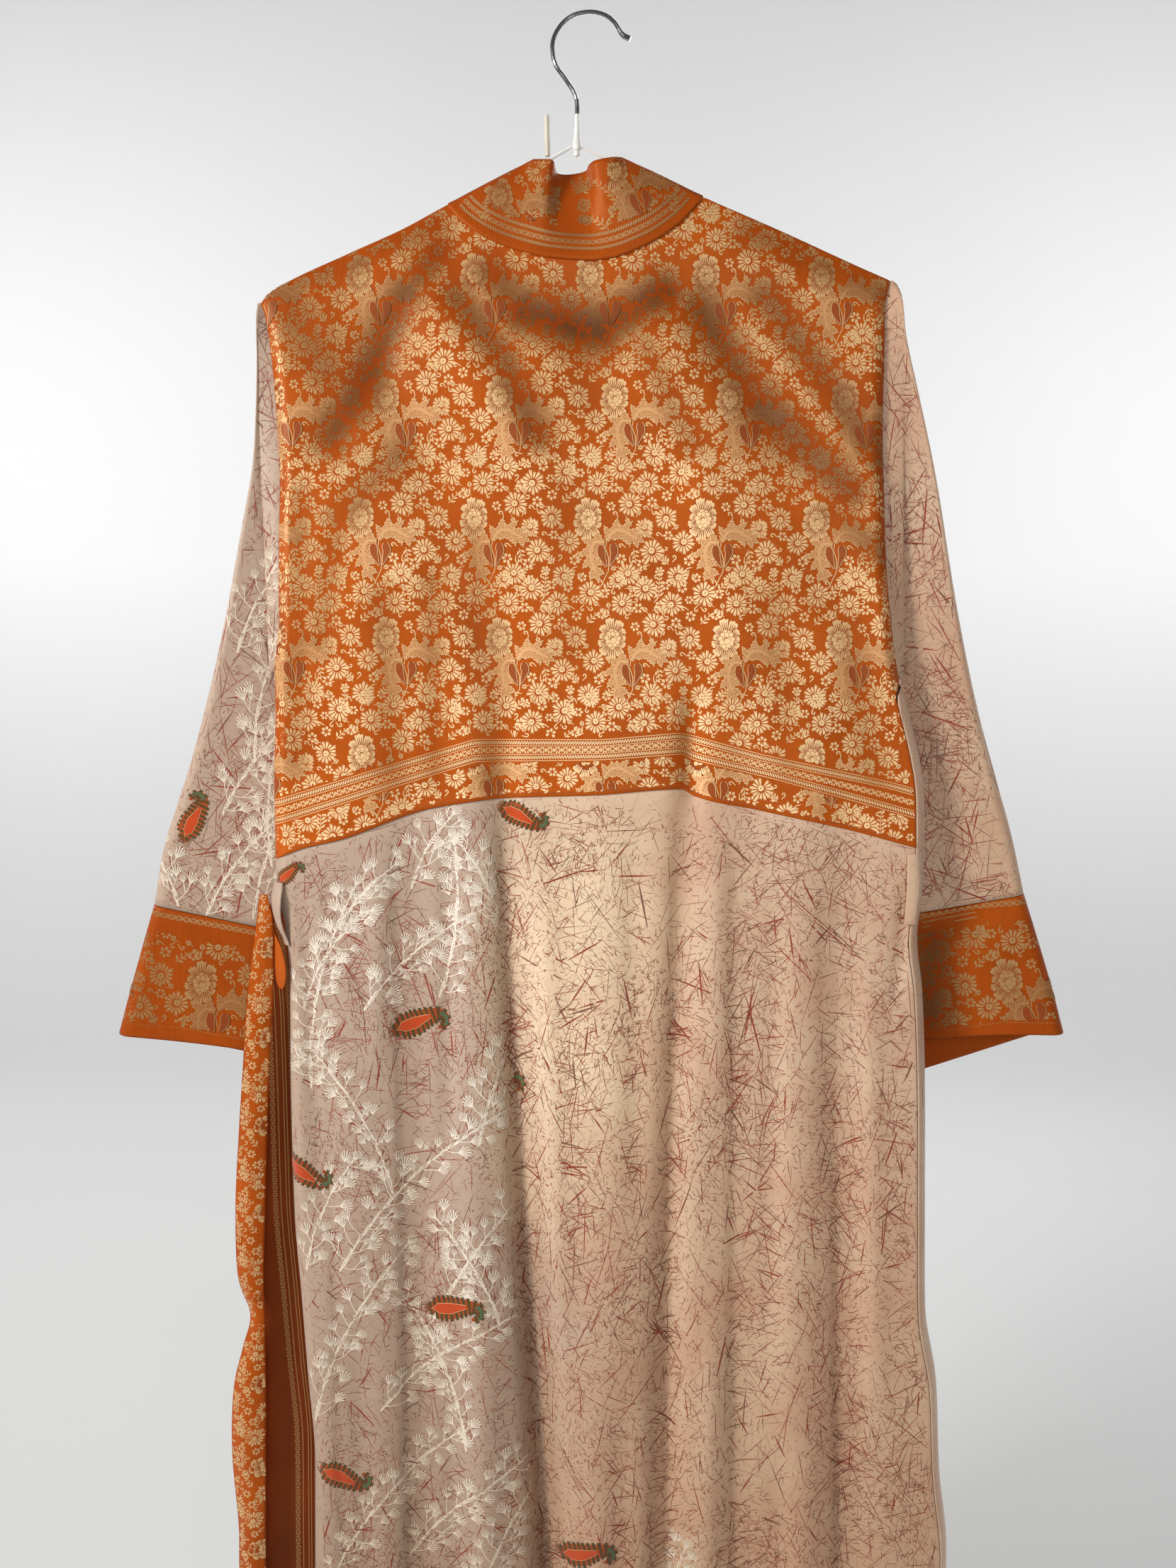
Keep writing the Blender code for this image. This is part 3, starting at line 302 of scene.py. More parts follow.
BELT_INNER = (
    (-0.625, -0.2335, 0.0, -0.228, 0.003, 0.0), (-0.64, -0.2385, 0.001, -0.2235, 0.0056, 0.0),
    (-0.66, -0.2425, 0.002, -0.2192, 0.008, 0.0), (-0.7, -0.244, 0.003, -0.2165, 0.0118, 0.0005),
    (-0.76, -0.2455, 0.003, -0.2155, 0.0125, 0.001),
    (-0.8595, -0.247, 0.003, -0.2145, 0.013, 0.0015),
    (-0.9297, -0.248, 0.003, -0.21, 0.0135, 0.002),
    (-0.9887, -0.2485, 0.003, -0.2062, 0.014, 0.002),
    (-1.0583, -0.249, 0.003, -0.2015, 0.0145, 0.002),
    (-1.1223, -0.249, 0.003, -0.2022, 0.015, 0.002), (-1.21, -0.249, 0.003, -0.203, 0.015, 0.002),
)
BELT_TURN = (
    (-0.634, -0.2336, -0.0062, -0.2303, -0.009, 0.0),
    (-0.644, -0.2326, -0.0072, -0.2285, -0.012, 0.0003),
    (-0.654, -0.2314, -0.0082, -0.2222, -0.018, 0.0006),
    (-0.664, -0.2312, -0.009, -0.219, -0.0195, 0.001),
    (-0.674, -0.2305, -0.0095, -0.218, -0.019, 0.0012),
    (-0.682, -0.2285, -0.01, -0.2195, -0.017, 0.0008),
    (-0.687, -0.2255, -0.011, -0.222, -0.015, 0.0003),
)

# Belt loops: z, left x, right x, distance of the loop from the body
LEFT_LOOP = (
    (-0.606, -0.2258, -0.2178, 0.0024), (-0.611, -0.2257, -0.2178, 0.003),
    (-0.62, -0.2246, -0.217, 0.006), (-0.63, -0.2225, -0.216, 0.007),
    (-0.64, -0.2208, -0.215, 0.006), (-0.648, -0.2198, -0.2145, 0.003),
    (-0.653, -0.2195, -0.2135, 0.0024),
)
RIGHT_LOOP = (
    (-0.58, 0.233, 0.2408, 0.0024), (-0.588, 0.233, 0.241, 0.0032),
    (-0.605, 0.2332, 0.241, 0.0045), (-0.62, 0.233, 0.2404, 0.0036),
    (-0.632, 0.2325, 0.2398, 0.0027),
)

# Painted light and shade of the back at each height
LIGHT_BY_HEIGHT = (
    (-1.3, 0.66), (-1.15, 0.72), (-0.95, 0.86), (-0.75, 0.98), (-0.6, 1.0), (-0.48, 1.0),
    (-0.38, 0.97), (-0.2, 0.86), (-0.1, 0.8),
)

# Marks of the threads in a figure of the brocade, of the embroidery, of a paisley and of the print
GOLD, TAN, PALE, DARK = 0, 1, 2, 3
WHITE, GREY = 0, 1
ORANGE, RUST, OLIVE, GREEN, LINE = 0, 1, 2, 3, 4
RUST_DYE, BROWN_DYE = 0, 1

# The brocade's repeat about a peony: x, y in millimetres and turn in degrees, then the size, or
# for a fern its length and bend. The leaves, drops and stems are lines of points.
REPEAT_WIDTH, REPEAT_HEIGHT, ROW_SHIFT = 80.8, 84.0, 18.0
PEONY_PLACE = (-0.0793, -0.3441)
DAISIES = (
    (-16.7, 32.4, 10, 1.0), (6.4, 24.7, 70, 0.95), (22.3, 35.2, 30, 1.0), (-39.0, 25.3, 200, 1.0),
    (29.5, 10.4, 140, 1.0), (-26.1, 1.6, 250, 0.95), (-14.0, -15.9, 15, 0.95),
    (-35.5, -22.5, 100, 1.0), (27.8, -38.5, 45, 0.95), (-17.5, -39.5, 300, 0.95),
    (39.5, -6.0, 60, 0.8), (3.0, 41.5, 20, 0.75),
)
FLORETS = (
    (17.9, 22.0, 0, 1.0), (-25.7, 16.5, 20, 1.0), (-8.0, 17.3, 40, 0.9), (15.8, 9.0, 10, 0.9),
    (-36.0, 12.0, 30, 1.0), (-24.4, -11.0, 0, 0.9), (23.4, -27.6, 50, 1.0), (38.3, -31.0, 15, 1.0),
    (40.0, -42.3, 0, 0.9), (-9.6, -28.5, 35, 1.0), (-30.0, -36.0, 10, 0.9), (-6.0, 32.0, 0, 0.9),
    (33.5, 24.0, 25, 1.0), (37.0, 38.0, 5, 0.9), (-32.0, 36.5, 40, 1.0), (-39.0, -3.5, 0, 0.9),
    (20.0, -4.5, 30, 0.8), (14.0, 32.5, 15, 0.8), (-27.0, 28.0, 0, 0.8), (-4.0, -40.5, 20, 0.9),
)
FERNS = (
    (-30.5, -55.0, 0, 20.0, 0.05), (-18.5, 11.0, -40, 10.0, 0.15), (34.0, -13.0, -15, 9.0, 0.35),
    (-24.0, -31.5, 40, 8.0, 0.1), (11.0, -50.0, -50, 9.0, -0.2), (28.0, 20.5, -75, 8.0, 0.2),
    (-30.0, 40.0, 15, 9.0, -0.2), (-2.0, 16.5, 65, 7.0, 0.2), (32.0, -20.5, 200, 9.0, 0.2),
    (14.0, 43.0, -30, 8.0, 0.2), (-7.5, -22.0, -160, 7.0, 0.2),
)
CURLS = (
    (18.5, 4.0, 0), (10.2, 15.5, 90), (-15.5, 21.5, 200), (-30.7, 21.4, 40), (-21.5, 21.0, 120),
    (30.0, 29.5, 300), (40.0, 8.0, 20), (19.0, -13.5, 80), (31.0, -29.0, 160), (-31.5, -10.5, 30),
    (16.0, 27.8, 250), (-10.0, 40.5, 10), (30.5, 44.0, 60), (-40.0, -34.0, 90),
    (-26.0, -20.0, 220), (0.5, 33.0, 140), (-20.0, -26.0, 300), (23.0, -18.5, 30),
    (-34.0, 5.0, 180), (38.0, 15.5, 240), (-10.0, -35.5, 90), (19.5, -46.5, 10),
)
LEAVES = (
    (-20.5, 25.5, 60), (12.0, 19.0, -30), (36.5, 17.5, 20), (-31.0, 8.5, 80), (-20.5, -6.0, -60),
    (35.5, -43.5, 0), (-26.0, -26.5, 150), (24.0, 19.5, 40), (-38.0, 39.0, 30), (10.0, 36.0, -80),
    (-23.5, 42.5, 10), (27.0, 1.0, 200), (34.5, 3.0, -30), (-36.5, -12.0, 50), (20.0, -33.5, 110),
    (-3.0, 22.0, 10), (-10.5, 24.0, 60),
)
GREAT_LEAVES = (
    ((11.5, -16.0), (5.0, -15.5), (1.5, -21.0), (2.8, -31.0), (7.0, -41.0)),
    ((13.0, -15.0), (17.5, -8.0), (24.0, -7.4), (30.6, -11.4), (36.0, -14.0)),
)
TEARDROPS = (
    ((8.6, -18.0), (9.6, -25.0), (13.2, -33.5)), ((17.6, -17.0), (18.6, -23.0), (15.6, -33.0)),
)
STEMS = (
    ((11.9, -19.3), (14.6, -27.0), (14.6, -35.7), (9.1, -47.2)),
    ((11.5, -19.0), (9.5, -15.0), (7.0, -12.5)), ((12.5, -19.0), (13.0, -14.0), (11.5, -11.0)),
)

# Lobes of the peony: turn, reach. A toothed leaf point: share of its length, share of its width.
PEONY_LOBES = (
    (6, 9.6), (38, 11.2), (68, 14.6), (99, 15.6), (132, 13.0), (166, 10.0), (200, 11.4),
    (234, 13.8), (265, 15.8), (298, 13.6), (332, 10.4),
)
TOOTHED = (
    (0.0, -1.0), (0.30, -1.05), (0.46, -1.25), (0.50, -0.70), (0.70, -0.85), (0.74, -0.42),
    (1.0, 0.0), (0.74, 0.42), (0.70, 0.85), (0.50, 0.70), (0.46, 1.25), (0.30, 1.05), (0.0, 1.0),
)

# Ferns of the collar: x, z, turn, length, bend
COLLAR_FERNS = (
    (-40, -142, -4, 26, 0.16), (-52, -138, 40, 15, 0.2), (-34, -138, -48, 13, -0.2),
    (28, -140, 30, 34, -0.25), (38, -134, -34, 14, 0.2), (14, -146, 44, 14, -0.2),
    (60, -134, 10, 16, 0.2), (-72, -140, 10, 12, 0.2),
)

# Paisleys on the back: x, z, turn in degrees, size, mirrored
PAISLEYS = (
    (-0.0443, -0.556, 176, 0.85, True), (-0.214, -0.599, 20, 0.55, False),
    (-0.1198, -0.7085, 0, 1.0, False), (-0.063, -0.7635, 20, 1.0, False),
    (-0.206, -0.825, 172, 0.95, True), (-0.0937, -0.9273, -12, 1.0, False),
    (-0.1785, -1.064, 176, 0.95, True), (0.0064, -1.1201, -6, 1.0, False),
    (-0.13, -1.21, 6, 1.0, False),
)
PAISLEY_SPINE = ((-18.6, -7.4), (-11.7, -4.3), (-3.1, -1.2), (5.5, 3.1), (13.0, 6.2), (17.8, 5.0),
                 (19.4, 0.6), (16.6, -3.2), (12.4, -3.8))
PAISLEY_HALF = (2.0, 8.4, 8.8, 6.6, 4.6, 3.3, 2.6, 2.2, 1.4)

# Sprays on the back and on the left sleeve: foot x, z, length in millimetres, turn, bend
SPRAYS = (
    (-0.2, -0.76, 150, 4, 0.3), (-0.16, -0.7, 130, -32, 0.35), (-0.105, -0.69, 110, -20, -0.25),
    (-0.075, -0.8, 150, -8, 0.3), (-0.18, -0.9, 170, -28, 0.3), (-0.14, -0.84, 120, 12, -0.3),
    (-0.1, -0.92, 130, -25, 0.25), (-0.2, -1.02, 150, -10, 0.3), (-0.15, -1.01, 140, -38, 0.3),
    (-0.085, -1.04, 130, 6, -0.3), (-0.19, -1.15, 150, -22, 0.3), (-0.13, -1.13, 150, -36, 0.25),
    (-0.075, -1.16, 130, -12, 0.3), (-0.16, -1.29, 150, -18, 0.3), (-0.095, -1.29, 140, -30, 0.25),
    (-0.045, -1.27, 120, 4, -0.25), (-0.125, -0.61, 60, -12, 0.3), (-0.178, -0.64, 60, -24, 0.3),
    (0.075, -1.18, 60, 10, 0.3), (0.045, -1.19, 50, -20, 0.3), (-0.06, -0.64, 70, 8, -0.3),
    (-0.205, -0.7, 80, -14, 0.3), (-0.06, -0.94, 90, 14, -0.3), (-0.205, -0.9, 90, -6, 0.3),
)
SLEEVE_SPRAYS = (
    (-0.286, -0.640, 110, -22, 0.3), (-0.250, -0.640, 120, -6, 0.3),
    (-0.270, -0.560, 110, -24, 0.3), (-0.245, -0.520, 100, 2, 0.3),
    (-0.305, -0.630, 60, 10, -0.3), (-0.255, -0.440, 90, -14, 0.3), (-0.235, -0.600, 90, 8, 0.2),
)

# Where the printed lines crowd together: x, z
CROWDED = (
    (-0.024, -0.722), (-0.001, -0.757), (0.126, -0.779), (0.234, -0.76), (0.092, -0.822),
    (-0.07, -0.728), (0.202, -1.017), (-0.162, -0.665), (0.209, -0.856), (0.005, -0.841),
    (0.09, -0.732), (0.151, -0.881), (0.065, -0.944), (0.227, -1.067), (-0.036, -0.6),
    (0.107, -0.679), (0.173, -0.603), (0.15, -1.2), (0.04, -1.08), (-0.12, -1.18),
)
CROWDED_SHARE = 0.28
PRINT_LOW = -1296       # lower end of the print, in millimetres
PRINT_LIFT, PRINT_SPREAD = -0.024, 0.008    # lift of the lowest printed mark, and range above it

# The print: numbers of lines and of flecks on each side of each cloth
BACK_PRINT, EDGE_PRINT, FRONT_PRINT = (6800, 21000), (420, 900), (3000, 4500)
NEAR_PRINT, FAR_PRINT = (1700, 3400), (1000, 2000)
BEHIND_LINES = 500
FRONT_SPRAYS = 16       # how many of the back's sprays come again, mirrored, on the left front
SEED = 11


def curve(rows, column=1):
    """A smooth curve through one column of a table, against its first, that never overshoots."""
    pairs = sorted((row[0], row[column]) for row in rows)
    xs = np.array([pair[0] for pair in pairs])
    ys = np.array([pair[1] for pair in pairs])
    steps = np.diff(xs)
    rises = np.diff(ys) / steps
    slopes = np.zeros(len(xs))
    slopes[0], slopes[-1] = rises[0], rises[-1]
    for i in range(1, len(xs) - 1):
        if rises[i - 1] * rises[i] > 0:
            before, after = steps[i - 1] + 2 * steps[i], 2 * steps[i - 1] + steps[i]
            slopes[i] = (before + after) / (before / rises[i - 1] + after / rises[i])

    def at(x):
        x = np.clip(x, xs[0], xs[-1])
        i = np.clip(np.searchsorted(xs, x, side="right") - 1, 0, len(steps) - 1)
        t = (x - xs[i]) / steps[i]
        start = (1 + 2 * t) * (1 - t) ** 2 * ys[i] + t * (1 - t) ** 2 * steps[i] * slopes[i]
        end = t * t * (3 - 2 * t) * ys[i + 1] + t * t * (t - 1) * steps[i] * slopes[i + 1]
        return start + end

    return at


def mix(a, b, t):
    return a + (b - a) * t


def ease(t):
    t = np.clip(t, 0.0, 1.0)
    return t * t * (3 - 2 * t)


shoulder_z = curve(SHOULDER_LINE)
left_side = curve(BODY_SIDES, 1)
right_side = curve(BODY_SIDES, 2)
hang_back = curve(HANG, 1)
hang_front = curve(HANG, 2)
neck_seam_z = curve(NECK_SEAM)
yoke_seam_z = curve(YOKE_SEAM)


def over_wire(drop):
    """The round of the cloth where it turns over the hanger, from the hanger's plane."""
    lift = np.clip(FOLD_OVER - drop, 0.0, FOLD_OVER)
    return np.sqrt(np.maximum(FOLD_OVER ** 2 - lift ** 2, 0.0))


def fold_place(z, top_x, middle_x, low_x):
    """x of a fold at a height."""
    top, middle, low = FOLD_LEVELS
    upper = mix(middle_x, top_x, np.minimum((z - middle) / (top - middle), 1.0))
    lower = mix(middle_x, low_x, (z - middle) / (low - middle))
    return np.where(z > middle, upper, lower)


def grown(z, top_depth, low_depth):
    """Depth of a fold at a height."""
    top, _, low = FOLD_LEVELS
    return mix(top_depth, low_depth, ease((top + FOLD_GROWTH - z) / (top + FOLD_GROWTH - low)))


def fold_depth(folds, x, z):
    total = 0.0
    for top_x, middle_x, low_x, half_width, top_depth, low_depth in folds:
        away = (x - fold_place(z, top_x, middle_x, low_x)) / half_width
        start = ease((FOLD_TOP - z) / FOLD_FADE)
        total = total + grown(z, top_depth, low_depth) * start * np.exp(-(away ** 2))
    return total


def from_crease(x, z, start_x, start_z, end_x, end_z):
    """Share of the way along a crease, and the distance from it."""
    run_x, run_z = end_x - start_x, end_z - start_z
    along = ((x - start_x) * run_x + (z - start_z) * run_z) / (run_x ** 2 + run_z ** 2)
    near = np.clip(along, 0.0, 1.0)
    return near, np.hypot(x - start_x - near * run_x, z - start_z - near * run_z)


def crease_depth(creases, x, z):
    total = 0.0
    for *line, half_width, depth in creases:
        near, away = from_crease(x, z, *line)
        fade = ease(near / 0.25) * ease((1 - near) / 0.25) if half_width < NARROW_CREASE else 1.0
        total = total + depth * fade * np.exp(-((away / half_width) ** 2))
    return total


def shade_streaks(x, z):
    """How strongly painted shade dulls the satin's sheen, from 0 to 1: strongest along the middle
    of each band.
    """
    total = 0.0
    for *line, half_width, amount in YOKE_SHADE_STREAKS:
        _, away = from_crease(x, z, *line)
        total = np.maximum(total, amount * np.exp(-((away / half_width) ** 2)))
    return total * ease((z + 0.565) / 0.05)


def lap_depth(x, z):
    total = 0.0
    below_seam = ease((yoke_seam_z(x) - 0.002 - z) / 0.07)
    for top_x, middle_x, low_x, width, top_depth, low_depth in LAPS:
        past = x - fold_place(z, top_x, middle_x, low_x)
        step = 1 / (1 + np.exp(-np.clip(past / LAP_EDGE, -40, 40)))
        total = total + (grown(z, top_depth, low_depth) * below_seam
                         * step * np.exp(-np.maximum(past, 0.0) / width))
    return total


def lap_line(z):
    """Where the embroidered part of the back laps over the plain part."""
    return np.interp(z, FOLD_LEVELS[::-1], LAPS[0][2::-1])


def back_depth(x, z):
    drop = shoulder_z(x) - z
    calm = ease((drop - FOLD_OVER) / 0.05)
    folds = fold_depth(BACK_FOLDS, x, z) + crease_depth(YOKE_CREASES, x, z)
    small = (STREAK_DEPTH * shade_streaks(x, z) + PUCKER * crease_depth(BODY_PUCKERS, x, z)
             + lap_depth(x, z))
    return np.where(drop < FOLD_OVER, over_wire(drop), hang_back(drop) - calm * (folds + small))


def back_hollow(x, z):
    return (fold_depth(BACK_FOLDS, x, z) + crease_depth(YOKE_CREASES, x, z)
            + PUCKER * crease_depth(BODY_PUCKERS, x, z) + lap_depth(x, z))


def slope(hollow, x, z, across=0.0, upward=0.0):
    """How steeply a hollow deepens over a small step."""
    ahead, behind = hollow(x + across, z + upward), hollow(x - across, z - upward)
    return (ahead - behind) / (2 * SLOPE_STEP)


def back_shade(x, z):
    """How light the back reads, as painted light and shade: darker in hollows, on slopes away from
    the light, low down and along the yoke's bands of painted shade.
    """
    across = slope(back_hollow, x, z, across=SLOPE_STEP)
    upward = slope(back_hollow, x, z, upward=SLOPE_STEP)
    heights, painted_shading = zip(*LIGHT_BY_HEIGHT)
    satin = np.where(z > yoke_seam_z(x), 1.5, 1.0)
    slant = 0.42 * np.clip(across, -0.4, 0.45) - 0.25 * upward + 16 * back_hollow(x, z)
    bend = np.clip(1 - satin * slant, 0.56, 1.16)
    return np.interp(z, heights, painted_shading) * bend * (1 - shade_streaks(x, z))


def front_hollow(x, z):
    return (fold_depth(FRONT_FOLDS, x, z)
            + FRONT_PUCKER * crease_depth(BODY_PUCKERS, 0.02 - x, z))


def front_depth(x, z):
    drop = shoulder_z(x) - z
    return np.where(drop < FOLD_OVER, over_wire(drop), hang_front(drop) - front_hollow(x, z))


def front_shade(x, z):
    """The same for the fronts, which no photo shows."""
    across = slope(front_hollow, x, z, across=SLOPE_STEP)
    slant = 0.42 * np.clip(across, -0.4, 0.5)
    return np.clip(1 - slant - 14 * front_hollow(x, z), 0.62, 1.10)


def side_turn(z, below):
    """Degrees of the side turn where a body panel ends, above and below the underarm."""
    return mix(ARMHOLE_TURN, below, ease((UNDERARM_Z - z) / CLOSING))


def turned(side, degrees, z, face):
    """Points on the rounded side of the body. 90 degrees is the flat of the face."""
    angle = np.radians(degrees)
    inset = ROLL * (1 - np.cos(angle))
    x = left_side(z) + inset if side < 0 else right_side(z) - inset
    outward = np.sin(angle)
    back = (face < 0) == (outward >= 0)
    reach = outward * np.where(back, back_depth(x, z), front_depth(x, z))
    depth = np.where(outward > 0, np.maximum(reach, EDGE_APART), reach)
    return np.stack([x, face * depth, z + 0 * x], -1)


def flat(x, z, face):
    depth = back_depth(x, z) if face < 0 else front_depth(x, z)
    return np.stack([x, face * depth, z + 0 * x], -1)


def roll_columns(side, face, below, count):
    def column(share):
        return lambda z: turned(side, mix(side_turn(z, below), 90.0, share), z, face)
    made = [column(i / count) for i in range(count)]
    return made if side < 0 else made[::-1]


def flat_columns(shares, left, right, face):
    def column(share):
        return lambda z: flat(mix(left(z), right(z), share), z, face)
    return [column(share) for share in shares]


def settled(level, column):
    """Height where a column meets a level that changes with x."""
    z = np.array(level(0.0))
    for _ in range(14):
        z = level(column(z)[..., 0])
    return z


def hung(columns, top, bottom, rows):
    """Grid of points. Each column runs down from top(x) to bottom(x), with close rows at first."""
    near = np.array(CLOSE_ROWS)
    grid = []
    for column in columns:
        start, stop = settled(top, column), settled(bottom, column)
        heights = np.concatenate([start - near, np.linspace(start - near[-1], stop, rows)[1:]])
        grid.append(column(heights))
    return np.stack(grid, 1)


def flat_left(z):
    return left_side(z) + ROLL


def flat_right(z):
    return right_side(z) - ROLL


def band_edge(side, z):
    """Free edge of a front band."""
    heights, middles = zip(*FRONT_MIDDLE)
    levels, spaces = zip(*FRONT_OPENING)
    return np.interp(z, heights, middles) + side * np.interp(z, levels, spaces)


def band_seam(side, z):
    return band_edge(side, z) + side * (BAND_LEFT_WIDTH if side < 0 else BAND_RIGHT_WIDTH)


def loop_places(length, half, count=60):
    """Distance along the loop's width and share of its half depth, for the near layer."""
    turn = np.radians(np.linspace(0, 90, 7)[:-1])
    ends = np.stack([half * (1 - np.cos(turn)), np.sin(turn)], -1)
    middle = np.stack([np.linspace(half, length - half, count), np.ones(count)], -1)
    far_end = np.stack([length - ends[::-1, 0], ends[::-1, 1]], -1)
    return np.concatenate([ends, middle, far_end])


def sleeve_section(outer, inner, half, near_rise=0.0, far_drop=0.0, dent=None):
    """One closed section of a sleeve, from its outer line over the near layer and back."""
    outer, inner = np.array(outer), np.array(inner)
    length = np.linalg.norm(outer - inner)
    along, bulge = loop_places(length, half).T
    share = along / length
    line = outer + (inner - outer) * share[:, None]
    sunk = dent[2] * np.exp(-(((share - dent[0]) / dent[1]) ** 2)) if dent else 0.0
    near, far = line.copy(), line.copy()
    near[:, 1] += (sunk - half) * bulge
    near[:, 2] += near_rise * np.sin(math.pi * share)
    far[:, 1] += half * bulge
    far[:, 2] -= far_drop * share * bulge
    return np.concatenate([near, far[-2:0:-1]])


def armhole(side):
    """The sleeve's first section, a little under the edges of the yoke and of the front."""
    tip_z = shoulder_z(-0.2318 if side < 0 else 0.2113)
    length = tip_z - UNDERARM_Z
    step = LEFT_ARMHOLE_STEP if side < 0 else RIGHT_ARMHOLE_STEP
    near, far = [], []
    for along, bulge in loop_places(length, ARMHOLE_DEPTH):
        z = tip_z - along
        for layer, face in ((near, -1), (far, 1)):
            edge = turned(side, ARMHOLE_TURN, z, face)
            onward = edge - turned(side, ARMHOLE_TURN + 1.0, z, face)
            x, y, _ = edge + onward * step / np.linalg.norm(onward)
            layer.append((x, y * (bulge if along > length / 2 or along == 0.0 else 1.0), z))
    return np.array(near + far[-2:0:-1])


def between_rings(rings, spacing):
    """Dense rows on a smooth surface through the given rings."""
    rings = [np.array(ring) for ring in rings]
    padded = [2 * rings[0] - rings[1]] + rings + [2 * rings[-1] - rings[-2]]
    rows = []
    for a, b, c, d in zip(padded, padded[1:], padded[2:], padded[3:]):
        count = max(1, round(float(np.linalg.norm(c - b, axis=1).max()) / spacing))
        for i in range(count):
            t = i / count
            rows.append(0.5 * (2 * b + (c - a) * t + (2 * a - 5 * b + 4 * c - d) * t ** 2
                               + (3 * b - a - 3 * c + d) * t ** 3))
    rows.append(rings[-1])
    return np.array(rows)


# Building cloth

def piece_from(name, points, faces, finishes, face_finish=None, smooth=True, shade=None):
    points = np.asarray(points)
    mesh = bpy.data.meshes.new(name)
    mesh.from_pydata(points.tolist(), [], faces)
    # Each point keeps a share of its colour as painted light and shade, stored as its shade
    # attribute
    painted_shading = np.ones(len(points))
    if shade is not None:
        painted_shading = shade(points[:, 0], points[:, 2]) * painted_shading
    stored = mesh.attributes.new("shade", "FLOAT", "POINT")
    stored.data.foreach_set("value", painted_shading.astype(np.float32))
    for finish in finishes:
        mesh.materials.append(finish)
    if face_finish is not None:
        mesh.polygons.foreach_set("material_index", np.asarray(face_finish, dtype=np.int32))
    if smooth:
        mesh.shade_smooth()
    made = bpy.data.objects.new(name, mesh)
    bpy.context.scene.collection.objects.link(made)
    return made


def grid_faces(rows, columns, closed=False):
    faces = []
    for r in range(rows - 1):
        for c in range(columns if closed else columns - 1):
            after = (c + 1) % columns
            faces.append((r * columns + c, r * columns + after,
                          (r + 1) * columns + after, (r + 1) * columns + c))
    return faces


def cloth_places(grid):
    """Place of each point in metres of cloth, across from the middle column and down."""
    across = np.linalg.norm(np.diff(grid, axis=1), axis=2)
    down = np.linalg.norm(np.diff(grid, axis=0), axis=2)
    u = np.concatenate([np.zeros((len(grid), 1)), np.cumsum(across, axis=1)], axis=1)
    v = np.concatenate([np.zeros((1, grid.shape[1])), np.cumsum(down, axis=0)], axis=0)
    return u - u[:, grid.shape[1] // 2][:, None], v


def sheet_of(name, grid, finish, closed=False, shade=None):
    """A thin sheet of cloth, and its surface for laying figures on."""
    rows, columns = grid.shape[:2]
    faces = grid_faces(rows, columns, closed)
    points = grid.reshape(-1, 3)
    made = piece_from(name, points, faces, [finish], shade=shade)
    u, v = cloth_places(grid)
    corners = np.array(faces).reshape(-1)
    uv = np.stack([u.reshape(-1)[corners], -v.reshape(-1)[corners]], -1)
    if closed:
        turn = uv[:, 0].reshape(-1, 4)
        closing = turn.max(axis=1) - turn.min(axis=1) > WIDEST_FACE
        onward = np.abs(turn[closing]).max() * 2
        turn[closing] += np.where(turn[closing] < 0, onward, 0.0)
        uv[:, 0] = turn.reshape(-1)
    made.data.uv_layers.new(name="cloth").data.foreach_set("uv", uv.reshape(-1))
    wall = made.modifiers.new("Wall", "SOLIDIFY")
    wall.thickness = SHOWN_CLOTH
    wall.offset = 0.0
    tree = BVHTree.FromPolygons([Vector(p) for p in points], faces)
    return made, (tree, points.min(axis=0), points.max(axis=0), shade)


# Finishes

def tone(text):
    """A colour written as six figures, as the light that the cloth gives back."""
    parts = [int(text[i:i + 2], 16) / 255 for i in (0, 2, 4)]
    return (*[c / 12.92 if c < 0.04045 else ((c + 0.055) / 1.055) ** 2.4 for c in parts], 1.0)


def add(tree, kind, inputs=None, **settings):
    """A node with its settings and inputs: each a number, a colour or another node's output."""
    made = tree.nodes.new("ShaderNode" + kind)
    for key, value in settings.items():
        setattr(made, key, value)
    for key, value in (inputs or {}).items():
        if isinstance(value, bpy.types.NodeSocket):
            tree.links.new(value, made.inputs[key])
        else:
            made.inputs[key].default_value = value
    return made


def sum_of(tree, operation, first, second=0.0, third=0.0):
    return add(tree, "Math", {0: first, 1: second, 2: third}, operation=operation).outputs[0]


def blend(tree, factor, first, second, kind="MIX"):
    made = add(tree, "Mix", {0: factor, 6: first, 7: second}, data_type="RGBA", blend_type=kind)
    return made.outputs[2]


def between_values(tree, value, low, high, to_low=0.0, to_high=1.0):
    return add(tree, "MapRange", {0: value, 1: low, 2: high, 3: to_low, 4: to_high}).outputs[0]


def new_group(name, takes, gives):
    tree = bpy.data.node_groups.new(name, "ShaderNodeTree")
    for title, kind, value in takes:
        made = tree.interface.new_socket(title, in_out="INPUT", socket_type="NodeSocket" + kind)
        if value is not None:
            made.default_value = value
    for title, kind in gives:
        tree.interface.new_socket(title, in_out="OUTPUT", socket_type="NodeSocket" + kind)
    source, target = tree.nodes.new("NodeGroupInput"), tree.nodes.new("NodeGroupOutput")
    return tree, source.outputs, target.inputs


